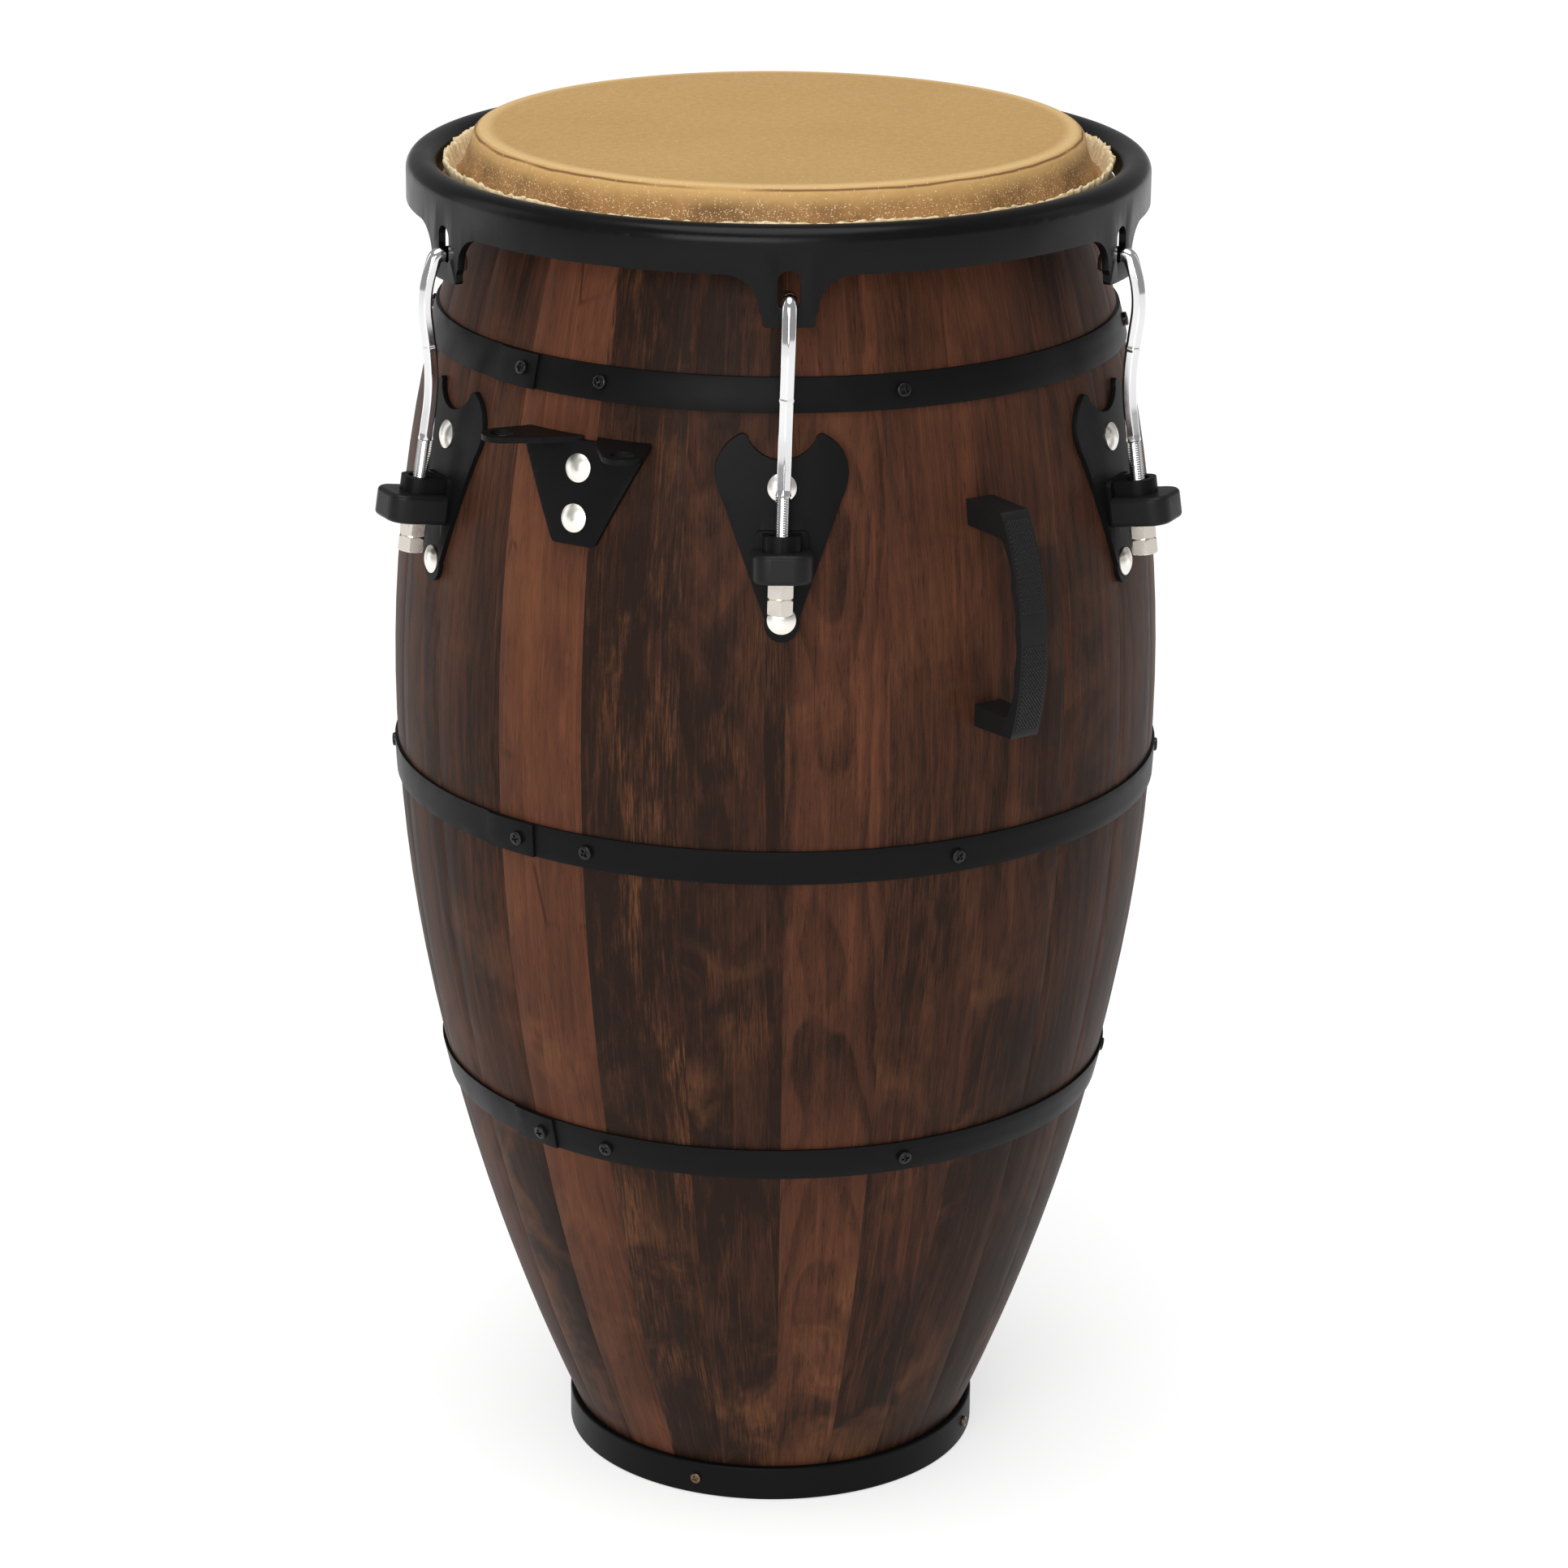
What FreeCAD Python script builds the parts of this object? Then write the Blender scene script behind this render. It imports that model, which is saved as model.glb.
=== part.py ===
import FreeCAD, Part
import math
import os

import Sketcher

# A conga drum: a barrel of tapered staves held by screwed steel bands, a hide head on a
# flesh hoop, and a steel rim pulled down by six hooks whose nuts bear under the lug plates'
# receivers.
# Every radial piece is drawn with +X pointing out of the drum and is then turned about Z.
# The drum's front is -Y, and a turn of 0 puts a piece there.

DRIVING_SIZES = {
    # barrel
    "drum_height": 764.7, "skin_gauge": 2.0, "wall_gauge": 11.0, "stave_count": 24,
    "stave_turn": 1.4, "belly_radius": 212.0, "belly_level": 460.0, "upper_bow": 827.0,
    "middle_bow": 938.0, "foot_bow": 1214.0, "knee_level": 300.0, "neck_level": 735.0,
    "edge_round": 4.5,
    # hoops of the barrel
    "band_gauge": 1.7, "upper_band_level": 662.5, "upper_band_width": 17.6,
    "middle_band_level": 414.6, "middle_band_width": 18.2, "lower_band_level": 236.1,
    "lower_band_width": 18.0, "band_lap": 9.0, "foot_band_radius": 117.5,
    "foot_band_width": 19.6, "foot_lip_gauge": 3.0,
    # head
    "hoop_radius": 177.0, "hoop_level": 733.0, "hoop_wire": 4.5, "bearing_radius": 164.0,
    "collar_radius": 180.5, "collar_level": 750.5,
    # rim
    "rim_radius": 201.4, "rim_gauge": 4.0, "rim_foot_level": 727.5, "rim_crest_level": 752.0,
    "ear_foot_level": 700.7, "ear_width": 27.0, "ear_flare": 18.0, "slot_width": 11.7,
    "slot_foot_level": 711.0, "slot_top_level": 730.0,
    # lugs and hooks
    "lug_turn": 0.8, "lug_spread": 62.0, "rear_lug_spread": 56.0, "plate_gauge": 2.8,
    "weld_gauge": 2.4, "rod_tilt": 8.8, "nut_seat_radius": 219.3, "nut_seat_level": 572.8,
    "receiver_radius": 10.0, "receiver_length": 23.5, "receiver_floor": 4.0, "receiver_bore": 13.0,
    "rod_hole": 9.8, "hook_lean": 1.5, "hook_lean_level": 596.0, "rim_lead": 0.8,
    "boot_reach": 20.0, "boot_width": 31.6, "boot_round": 10.0,
    "boot_length": 15.5, "rod_radius": 3.6, "bar_width": 7.2, "bar_chamfer": 1.0, "nut_flats": 13.0,
    "nut_length": 17.0, "nut_bore": 8.2, "fit_gap": 0.45,
    # fasteners
    "bolt_head_radius": 7.5, "bolt_head_rise": 3.2, "bolt_radius": 3.0, "bolt_hole": 6.4,
    "screw_head_radius": 3.75, "screw_head_rise": 2.5, "screw_radius": 1.6, "screw_length": 10.0,
    # accessory bracket
    "bracket_turn": -30.8, "bracket_gauge": 3.0, "bracket_top_level": 633.0,
    "bracket_foot_level": 579.4, "bracket_top_width": 74.0, "bracket_foot_width": 27.6,
    "ear_reach": 24.5, "ear_round": 10.8, "ear_root_width": 28.0, "ear_bore": 12.5,
    "left_ear_splay": 47.0, "left_ear_root": 21.0, "right_ear_splay": 31.0, "right_ear_root": 25.0,
    # side handle
    "handle_turn": 31.8, "handle_top_level": 604.5, "handle_foot_level": 483.0,
    "handle_width": 16.8, "handle_foot": 13.5,
}

FULL_TURN = 360.0
FACING_OUT = 90.0       # +X is turned back by this much to face the front

doc = FreeCAD.newDocument("conga_drum")
sheet = doc.addObject("Spreadsheet::Sheet", "Sizes")


class Size(float):
    """A length or an angle that remembers the spreadsheet expression it comes from."""

    def __new__(cls, value, text):
        size = float.__new__(cls, value)
        size.text = text
        return size

    def _joined(self, other, sign, value):
        return Size(value, f"({self.text} {sign} {text_of(other)})")

    def _joined_after(self, other, sign, value):
        return Size(value, f"({text_of(other)} {sign} {self.text})")

    def __add__(self, other):
        return self._joined(other, "+", float(self) + float(other))

    def __radd__(self, other):
        return self._joined_after(other, "+", float(other) + float(self))

    def __sub__(self, other):
        return self._joined(other, "-", float(self) - float(other))

    def __rsub__(self, other):
        return self._joined_after(other, "-", float(other) - float(self))

    def __mul__(self, other):
        return self._joined(other, "*", float(self) * float(other))

    def __rmul__(self, other):
        return self._joined_after(other, "*", float(other) * float(self))

    def __truediv__(self, other):
        return self._joined(other, "/", float(self) / float(other))

    def __neg__(self):
        return Size(-float(self), f"(0 - {self.text})")


def text_of(number):
    return number.text if isinstance(number, Size) else repr(float(number))


def root(number):
    return Size(math.sqrt(number), f"sqrt({text_of(number)})")


def fill_sheet():
    for row, (name, value) in enumerate(DRIVING_SIZES.items(), start=1):
        sheet.set(f"A{row}", name)
        sheet.set(f"B{row}", repr(value))
        sheet.setAlias(f"B{row}", name)
    doc.recompute()


def size(name):
    return Size(sheet.get(name), f"Sizes.{name}")


def bind(item, **values):
    """Give each property its value, and the sheet's expression where it has one."""
    for name, value in values.items():
        setattr(item, name, float(value))
        if isinstance(value, Size):
            item.setExpression(name, value.text)


# ---- the barrel's outline ------------------------------------------------------------------

def shell_arc(level):
    """The barrel's arc at a height: its radius, its centre's depth past the axis and its level.
    The foot's flatter arc runs on smoothly from the belly's at the knee."""
    belly = size("belly_level")
    if level >= belly:
        bow = size("upper_bow")
        return bow, bow - size("belly_radius"), belly
    middle = size("middle_bow")
    depth = middle - size("belly_radius")
    if level >= size("knee_level"):
        return middle, depth, belly
    drop = belly - size("knee_level")
    growth = size("foot_bow") / middle - 1
    return size("foot_bow"), depth + root(middle * middle - drop * drop) * growth, belly + drop * growth


def shell_radius(level, stand_off=0.0):
    """Radius of the barrel at a height, or of the surface that stands off from it."""
    bow, depth, centre_level = shell_arc(level)
    reach = bow + stand_off
    rise = level - centre_level
    return root(reach * reach - rise * rise) - depth


def shell_slope(level):
    """How far the barrel's surface leans back from vertical at a height, in degrees."""
    bow, _, centre_level = shell_arc(level)
    return math.degrees(math.asin((level - centre_level) / bow))


# ---- sketches and features ------------------------------------------------------------------

def new_body(name):
    return doc.addObject("PartDesign::Body", name)


def new_sketch(body, name, plane):
    sketch = body.newObject("Sketcher::SketchObject", name)
    for feature in body.Origin.OriginFeatures:
        if feature.Role == plane:
            sketch.AttachmentSupport = [(feature, "")]
    sketch.MapMode = "FlatFace"
    return sketch


def pin(sketch, edge, point, across, up):
    """Hold one end of an edge at its place, by the sheet where it gives the place."""
    for kind, value, axis in (("DistanceX", across, -2), ("DistanceY", up, -1)):
        if abs(value) < 1e-9:
            sketch.addConstraint(Sketcher.Constraint("PointOnObject", edge, point, axis))
            continue
        index = sketch.addConstraint(Sketcher.Constraint(kind, -1, 1, edge, point, float(value)))
        if isinstance(value, Size):
            sketch.setExpression(f"Constraints[{index}]", value.text)


def draw(sketch, corners):
    """Draw a closed outline: each corner is (across, up) where a straight edge follows, or
    (across, up, bow) where an arc follows, turning left if its radius is positive."""
    ends = []
    for this, following in zip(corners, corners[1:] + corners[:1]):
        start = FreeCAD.Vector(float(this[0]), float(this[1]), 0)
        finish = FreeCAD.Vector(float(following[0]), float(following[1]), 0)
        if len(this) == 2:
            edge = sketch.addGeometry(Part.LineSegment(start, finish), False)
            ends.append((edge, 1, 2))
            continue
        bow = this[2]
        chord = finish - start
        half = chord.Length / 2
        left = FreeCAD.Vector(-chord.y, chord.x, 0).normalize()
        depth = math.sqrt(max(float(bow) ** 2 - half ** 2, 0))
        centre = (start + finish) * 0.5 + left * math.copysign(depth, bow)
        first, last = (start, finish) if bow > 0 else (finish, start)
        first_angle = math.atan2(first.y - centre.y, first.x - centre.x)
        last_angle = math.atan2(last.y - centre.y, last.x - centre.x)
        if last_angle < first_angle:
            last_angle += 2 * math.pi
        circle = Part.Circle(centre, FreeCAD.Vector(0, 0, 1), abs(float(bow)))
        edge = sketch.addGeometry(Part.ArcOfCircle(circle, first_angle, last_angle), False)
        ends.append((edge, 1, 2) if bow > 0 else (edge, 2, 1))
        index = sketch.addConstraint(Sketcher.Constraint("Radius", edge, abs(float(bow))))
        if isinstance(bow, Size):
            sketch.setExpression(f"Constraints[{index}]", (bow if bow > 0 else -bow).text)
    for place, (edge, start_point, _) in enumerate(ends):
        before, _, end_point = ends[place - 1]
        sketch.addConstraint(Sketcher.Constraint("Coincident", before, end_point, edge, start_point))
        pin(sketch, edge, start_point, corners[place][0], corners[place][1])


def draw_circle(sketch, across, up, radius):
    circle = Part.Circle(FreeCAD.Vector(float(across), float(up), 0), FreeCAD.Vector(0, 0, 1),
                         float(radius))
    edge = sketch.addGeometry(circle, False)
    index = sketch.addConstraint(Sketcher.Constraint("Radius", edge, float(radius)))
    if isinstance(radius, Size):
        sketch.setExpression(f"Constraints[{index}]", radius.text)
    pin(sketch, edge, 3, across, up)


def strip(start, heading, moves, gauge):
    """Corners of a bent strip of even gauge, from its centre line: straight runs (length,)
    and bends (angle, radius), a left bend having a positive angle."""
    place = FreeCAD.Vector(start[0], start[1], 0)
    angle = math.radians(heading)
    left_side, right_side = [], []
    half = float(gauge) / 2

    def beside(offset, bow=None):
        spot = place + FreeCAD.Vector(-math.sin(angle), math.cos(angle), 0) * offset
        return (spot.x, spot.y) if bow is None else (spot.x, spot.y, bow)

    for move in moves:
        if len(move) == 1:
            right_side.append(beside(-half))
            left_side.append((beside(half), None))
            place = place + FreeCAD.Vector(math.cos(angle), math.sin(angle), 0) * move[0]
            continue
        turn, bend = math.radians(move[0]), move[1]
        side = math.copysign(1.0, turn)
        right_side.append(beside(-half, side * (bend + side * half)))
        left_side.append((beside(half), -side * (bend - side * half)))
        inward = FreeCAD.Vector(-math.sin(angle), math.cos(angle), 0) * side * bend
        centre = place + inward
        angle += turn
        place = centre - FreeCAD.Vector(-math.sin(angle), math.cos(angle), 0) * side * bend
    corners = right_side + [beside(-half)]
    bows = [bow for _, bow in left_side]
    spots = [spot for spot, _ in left_side] + [beside(half)]
    for number in range(len(bows), 0, -1):
        bow = bows[number - 1]
        spot = spots[number]
        corners.append(spot if bow is None else (spot[0], spot[1], bow))
    corners.append(spots[0])
    return corners


def revolved(body, name, corners=(), angle=FULL_TURN, circles=()):
    """Add a revolved outline, centred on +X when it is less than a full turn."""
    sketch = new_sketch(body, name + "_outline", "XZ_Plane")
    if corners:
        draw(sketch, corners)
    for across, up, radius in circles:
        draw_circle(sketch, across, up, radius)
    feature = body.newObject("PartDesign::Revolution", name)
    feature.Profile = sketch
    feature.ReferenceAxis = (sketch, ["V_Axis"])
    feature.Midplane = True
    bind(feature, Angle=angle)
    sketch.Visibility = False
    return feature


def padded(body, name, corners, plane, length, centred=True):
    """Add an outline drawn on an origin plane and padded through, or out of, that plane."""
    sketch = new_sketch(body, name + "_outline", plane)
    draw(sketch, corners)
    feature = body.newObject("PartDesign::Pad", name)
    feature.Profile = sketch
    if centred:
        feature.SideType = "Symmetric"
    bind(feature, Length=length)
    return feature


def cylinder(name, radius, length, across=0.0, up=0.0):
    item = doc.addObject("Part::Cylinder", name)
    bind(item, Radius=radius, Height=length)
    item.Placement.Base = FreeCAD.Vector(across, 0, up)
    return item


def block(name, low, high):
    item = doc.addObject("Part::Box", name)
    bind(item, Length=high[0] - low[0], Width=high[1] - low[1], Height=high[2] - low[2])
    item.Placement.Base = FreeCAD.Vector(*[float(value) for value in low])
    return item


def cut(name, base, tool):
    item = doc.addObject("Part::Cut", name)
    item.Base = base
    item.Tool = tool
    return item


def common(name, base, tool):
    item = doc.addObject("Part::Common", name)
    item.Base = base
    item.Tool = tool
    return item


def fused(name, pieces):
    item = doc.addObject("Part::MultiFuse", name)
    item.Shapes = pieces
    return item


def gathered(name, pieces):
    item = doc.addObject("Part::Compound", name)
    item.Links = pieces
    return item


def turned(name, source, turn):
    """The source, drawn facing +X, turned about Z to its place round the drum."""
    item = gathered(name, [source])
    item.Placement.Rotation = FreeCAD.Rotation(FreeCAD.Vector(0, 0, 1), 1.0)
    angle = turn - FACING_OUT + (FULL_TURN if turn < FACING_OUT else 0.0)
    item.setExpression("Placement.Rotation.Angle", text_of(angle))
    return item


def seated(name, source, level, stand_off=0.0):
    """The source, drawn along +Z, standing square on the barrel's surface at a height."""
    item = gathered(name, [source])
    lean = math.radians(shell_slope(level))
    across = shell_radius(level) + stand_off * math.cos(lean)
    tilt = FreeCAD.Rotation(FreeCAD.Vector(0, 1, 0), 90 - math.degrees(lean))
    place = FreeCAD.Vector(float(across), 0, float(level) + float(stand_off) * math.sin(lean))
    item.Placement = FreeCAD.Placement(place, tilt)
    item.setExpression("Placement.Base.x", text_of(across))
    return item


def level_seat(name, source, across, level):
    """The source, drawn along +Z, standing out level from the drum's axis."""
    item = gathered(name, [source])
    item.Placement = FreeCAD.Placement(FreeCAD.Vector(float(across), 0, float(level)),
                                       FreeCAD.Rotation(FreeCAD.Vector(0, 1, 0), 90))
    item.setExpression("Placement.Base.x", text_of(across))
    return item


def on_rod(name, source, rise=0.0):
    """The source, drawn along +Z, moved to the leaning tuning rod's axis above its nut seat."""
    item = gathered(name, [source])
    tilt = math.radians(size("rod_tilt"))
    across = size("nut_seat_radius") - rise * math.sin(tilt)
    up = size("nut_seat_level") + rise * math.cos(tilt)
    lean = FreeCAD.Rotation(FreeCAD.Vector(0, -1, 0), float(size("rod_tilt")))
    item.Placement = FreeCAD.Placement(FreeCAD.Vector(float(across), 0, float(up)), lean)
    item.setExpression("Placement.Base.x", text_of(across))
    item.setExpression("Placement.Base.z", text_of(up))
    return item


def lug_turns():
    """The front lug, its two neighbours, the rear lug and its two neighbours, clockwise."""
    front = size("lug_turn")
    rear = front + FULL_TURN / 2
    near = size("lug_spread")
    far = size("rear_lug_spread")
    return [front, front + near, rear - far, rear, rear + far, front + FULL_TURN - near]


# ---- holes drilled through the barrel -------------------------------------------------------

BOLT_LEVELS = (616.3, 549.0)
BRACKET_BOLT_LEVELS = (618.4, 592.8)
HANDLE_SCREW_LEVELS = (598.0, 487.5)
BAND_SCREW_TURNS = {
    "upper": (-44.1, -28.8, 20.0, 85.0, 145.0, 205.0, 265.0),
    "middle": (-39.4, -27.7, 27.0, 90.0, 150.0, 210.0, 270.0),
    "lower": (-41.9, -28.7, 22.4, 88.0, 148.0, 208.0, 268.0),
}
BAND_SEAM_TURNS = {"upper": -41.2, "middle": -36.6, "lower": -39.1}
LAPPED_SCREW = 0        # the first screw of each band holds the lapped end
FOOT_SCREW_TURNS = (-20.9, 72.5, 165.0, 255.0)
FOOT_SCREW_LEVEL = 10.0


def hole_places():
    """Every hole through the barrel: its turn, height and which drill makes it."""
    places = []
    for turn in lug_turns():
        places += [(turn, level, "bolt") for level in BOLT_LEVELS]
    places += [(size("bracket_turn"), level, "bolt") for level in BRACKET_BOLT_LEVELS]
    places += [(size("handle_turn"), level, "bolt") for level in HANDLE_SCREW_LEVELS]
    for band, turns in BAND_SCREW_TURNS.items():
        places += [(turn, size(f"{band}_band_level"), "screw") for turn in turns]
    places += [(turn, FOOT_SCREW_LEVEL, "foot") for turn in FOOT_SCREW_TURNS]
    return places


def make_drills():
    """One straight cylinder through the wall for each hole, kept with its turn."""
    reach = 30.0
    bits = {
        "bolt": cylinder("bolt_drill", size("bolt_hole") / 2, 2 * reach, 0, -reach),
        "screw": cylinder("screw_drill", size("screw_radius"), 2 * reach, 0, -reach),
    }
    foot_drill = level_seat("foot_drill", bits["screw"], size("foot_band_radius"), FOOT_SCREW_LEVEL)
    seats, drills = {}, []
    for number, (turn, level, kind) in enumerate(hole_places()):
        key = f"{kind}_drill_{float(level):.0f}"
        if key not in seats:
            seats[key] = foot_drill if kind == "foot" else seated(key, bits[kind], level)
        drills.append((turn, float(level), turned(f"drill_{number}", seats[key], turn)))
    return drills


def drills_near(drills, turn, spread, low=0.0, high=1000.0):
    """The drills whose middle lies within a spread of a turn and between two heights."""
    near = []
    for hole_turn, level, drill in drills:
        away = (float(hole_turn) - float(turn) + 180.0) % FULL_TURN - 180.0
        if abs(away) <= spread and low < level < high:
            near.append(drill)
    return near


# ---- barrel ----------------------------------------------------------------------------------

def barrel_outline(inner_stand_off, outer_stand_off, foot, neck):
    """Corners of a wall that follows the barrel between two heights, foot first."""
    turns = (size("knee_level"), size("belly_level"))
    levels = [foot] + [level for level in turns if foot < level < neck] + [neck]
    bows = [shell_arc(level)[0] for level in levels[:-1]]
    corners = [(shell_radius(level, outer_stand_off), level, bow + outer_stand_off)
               for level, bow in zip(levels, bows)]
    corners.append((shell_radius(neck, outer_stand_off), neck))
    for level, bow in reversed(list(zip(levels[1:], bows))):
        corners.append((shell_radius(level, inner_stand_off), level, -(bow + inner_stand_off)))
    corners.append((shell_radius(foot, inner_stand_off), foot))
    return corners


def make_staves(nodes, drills):
    """Tapered staves, each a slice of the revolved wall with a rounded bearing edge on top."""
    wall = size("wall_gauge")
    top = size("drum_height") - size("skin_gauge")
    neck = size("neck_level")
    edge = size("edge_round")
    bearing = size("bearing_radius")
    wall_corners = barrel_outline(-wall, 0.0, size("foot_lip_gauge"), neck)
    half = len(wall_corners) // 2
    bearing_edge = [(bearing, top - edge, edge), (bearing - edge, top),
                    (bearing - wall, top)]
    corners = wall_corners[:half] + bearing_edge + wall_corners[half:]
    master = new_body("stave_master")
    width = FULL_TURN / size("stave_count")
    revolved(master, "stave_slice", corners, width)
    for number in range(round(size("stave_count"))):
        turn = size("stave_turn") + width * (number + 0.5)
        name = f"stave_{number + 1:02d}"
        near = drills_near(drills, turn, float(width) / 2 + 2.0)
        if not near:
            nodes[name] = turned(name, master, turn)
            continue
        plain = turned(name + "_plain", master, turn)
        nodes[name] = cut(name, plain, gathered(name + "_holes", near))


def make_band(nodes, drills, place):
    """A steel strip round the barrel, its left end lapped over the right one and screwed."""
    level = size(f"{place}_band_level")
    reach = size(f"{place}_band_width") / 2
    gauge = size("band_gauge")
    name = f"{place}_band"
    body = new_body(name + "_strip")
    revolved(body, name + "_ring", barrel_outline(0.0, gauge, level - reach, level + reach))
    lap = new_body(name + "_lap")
    revolved(lap, name + "_lap_strip",
             barrel_outline(gauge, gauge * 2, level - reach, level + reach), size("band_lap"))
    lap_turn = BAND_SEAM_TURNS[place] - size("band_lap") / 2
    joined = fused(name + "_joined", [body, turned(name + "_lap_turned", lap, lap_turn)])
    holes = drills_near(drills, 0.0, 180.0, level - reach, level + reach)
    nodes[name] = cut(name, joined, gathered(name + "_holes", holes))


def make_foot_band(nodes, drills):
    """A ring that wraps the barrel's foot, with a lip under the staves that the drum stands on."""
    radius = size("foot_band_radius")
    width = size("foot_band_width")
    lip = size("foot_lip_gauge")
    inner = shell_radius(lip, -size("wall_gauge"))
    soft = 1.2
    corners = [(inner, 0.0), (radius - soft, 0.0, soft), (radius, soft), (radius, width - soft, soft),
               (radius - soft, width), (shell_radius(width), width, -size("foot_bow")),
               (shell_radius(lip), lip), (inner, lip)]
    body = new_body("foot_band_ring")
    revolved(body, "foot_band_turn", corners)
    holes = drills_near(drills, 0.0, 180.0, 0.0, width)
    nodes["foot_band"] = cut("foot_band", body, gathered("foot_band_holes", holes))


# ---- head and rim ----------------------------------------------------------------------------

def make_head(nodes):
    """A hide stretched over the bearing edge, wrapped round its hoop, with a trimmed collar."""
    top = size("drum_height")
    gauge = size("skin_gauge")
    hoop_radius = size("hoop_radius")
    hoop_level = size("hoop_level")
    wire = size("hoop_wire")
    body = new_body("head_skin")
    crown = size("bearing_radius") - 2.7
    crease = (crown + 5.2, top - 3.8)
    tuck = (hoop_radius - 2.8, hoop_level + 5.0)
    inner_tuck = (hoop_radius - 4.9, hoop_level + 3.4)
    inner_crease = (crown + 3.5, top - 4.9)
    revolved(body, "head_crown",
             [(0.0, top - gauge), (crown, top - gauge, -4.2), inner_crease, inner_tuck, tuck,
              (crease[0], crease[1], 5.2), (crown, top), (0.0, top)])
    revolved(body, "hoop_wrap", circles=[(hoop_radius, hoop_level, wire + gauge),
                                         (hoop_radius, hoop_level, wire)])
    collar = size("collar_radius")
    collar_top = size("collar_level")
    revolved(body, "trimmed_collar",
             [(hoop_radius - 4.0, hoop_level + 5.2), (hoop_radius - 1.0, hoop_level + 6.0, -18.0),
              (collar + 1.0, collar_top - 0.6), (collar - 0.8, collar_top, 20.0)])
    nodes["head_skin"] = body
    hoop = doc.addObject("Part::Torus", "flesh_hoop")
    bind(hoop, Radius1=hoop_radius, Radius2=wire)
    hoop.Placement.Base = FreeCAD.Vector(0, 0, float(hoop_level))
    hoop.setExpression("Placement.Base.z", hoop_level.text)
    nodes["flesh_hoop"] = hoop


def rim_section():
    """The rim rises, rolls over in a soft crest and turns down onto the head's hoop."""
    gauge = float(size("rim_gauge"))
    foot = float(size("rim_foot_level"))
    crest = float(size("rim_crest_level"))
    bend = 6.5
    rise = crest - gauge / 2 - bend - foot
    return strip((float(size("rim_radius")) - gauge / 2, foot), 90.0,
                 [(rise,), (165.0, bend), (8.7,)], gauge)


def ear_outline():
    """Outline of an ear that hangs from the rim, flaring into it with a step at each side."""
    half = size("ear_width") / 2
    foot = size("ear_foot_level")
    top = size("rim_foot_level") + 3.0
    flare = size("ear_flare")
    step = 1.6
    step_low = foot + 5.5
    step_high = step_low + 3.0
    right = [(half - 2.0, foot, 2.0), (half, foot + 2.0), (half, step_low),
             (half + step, step_high), (half + step, size("rim_foot_level") - flare, -flare),
             (half + step + flare, size("rim_foot_level")), (half + step + flare, top)]
    left = [(-half - step - flare, top), (-half - step - flare, size("rim_foot_level"), -flare),
            (-half - step, size("rim_foot_level") - flare), (-half - step, step_high),
            (-half, step_low), (-half, foot + 2.0, 2.0), (-half + 2.0, foot)]
    return right + left


def slot_outline():
    half = size("slot_width") / 2
    foot = size("slot_foot_level")
    top = size("slot_top_level")
    soft = 2.0
    return [(-half + soft, foot), (half - soft, foot, soft), (half, foot + soft),
            (half, top - half, half), (0.0, top, half), (-half, top - half),
            (-half, foot + soft, soft)]


def make_rim(nodes):
    """One pressed steel rim with an ear and a slot for each hook."""
    radius = size("rim_radius")
    gauge = size("rim_gauge")
    ring = new_body("rim_ring")
    revolved(ring, "rim_roll", rim_section())
    wall = new_body("rim_ear_wall")
    low = size("ear_foot_level") - 5.0
    high = size("rim_foot_level") + 3.0
    revolved(wall, "rim_ear_tube", [(radius - gauge, low), (radius, low), (radius, high),
                                    (radius - gauge, high)])
    ear = new_body("rim_ear_shape")
    padded(ear, "rim_ear_prism", ear_outline(), "YZ_Plane", radius * 2 + 20.0)
    slot = new_body("rim_slot_shape")
    padded(slot, "rim_slot_prism", slot_outline(), "YZ_Plane", radius * 2 + 20.0)
    side = block("rim_outward_side", (100.0, -60.0, 600.0), (260.0, 60.0, 800.0))
    one_ear = common("rim_ear", common("rim_ear_pair", wall, ear), side)
    slot_side = block("rim_slot_side", (190.0, -60.0, 600.0), (260.0, 60.0, 800.0))
    one_slot = common("rim_slot", slot, slot_side)
    turns = [turn + size("rim_lead") for turn in lug_turns()]
    ears = [turned(f"rim_ear_{number}", one_ear, turn) for number, turn in enumerate(turns)]
    slots = [turned(f"rim_slot_{number}", one_slot, turn) for number, turn in enumerate(turns)]
    whole = fused("rim_whole", [ring] + ears)
    nodes["tension_rim"] = cut("tension_rim", whole, gathered("rim_slots", slots))


# ---- lugs --------------------------------------------------------------------------------------

def shield_outline():
    """A shield that narrows to a round foot, with a scooped top between two blunt points."""
    foot = (0.0, 537.6, 9.2)
    side = [(8.6, 549.0), (30.8, 611.0, 30.0), (34.2, 624.5, 22.0), (22.6, 642.4, 3.2), (17.2, 640.2)]
    right = [foot] + side[:-1] + [side[-1] + (-20.0,)]
    left = [(-side[4][0], side[4][1], 3.2), (-side[3][0], side[3][1], 22.0),
            (-side[2][0], side[2][1], 30.0), (-side[1][0], side[1][1]),
            (-side[0][0], side[0][1], foot[2])]
    return right + left


def skin_piece(name, low, high, inner_stand_off, outer_stand_off):
    """A layer that follows the barrel, for plates that lie on it."""
    body = new_body(name)
    revolved(body, name + "_layer", barrel_outline(inner_stand_off, outer_stand_off, low, high), 60.0)
    return body


def shell_core(name, stand_off):
    """Everything inside the surface that stands off from the barrel above its belly."""
    body = new_body(name)
    low = size("belly_level")
    high = size("neck_level")
    revolved(body, name + "_turn",
             [(0.0, low), (shell_radius(low, stand_off), low, size("upper_bow") + stand_off),
              (shell_radius(high, stand_off), high), (0.0, high)])
    return body


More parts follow.
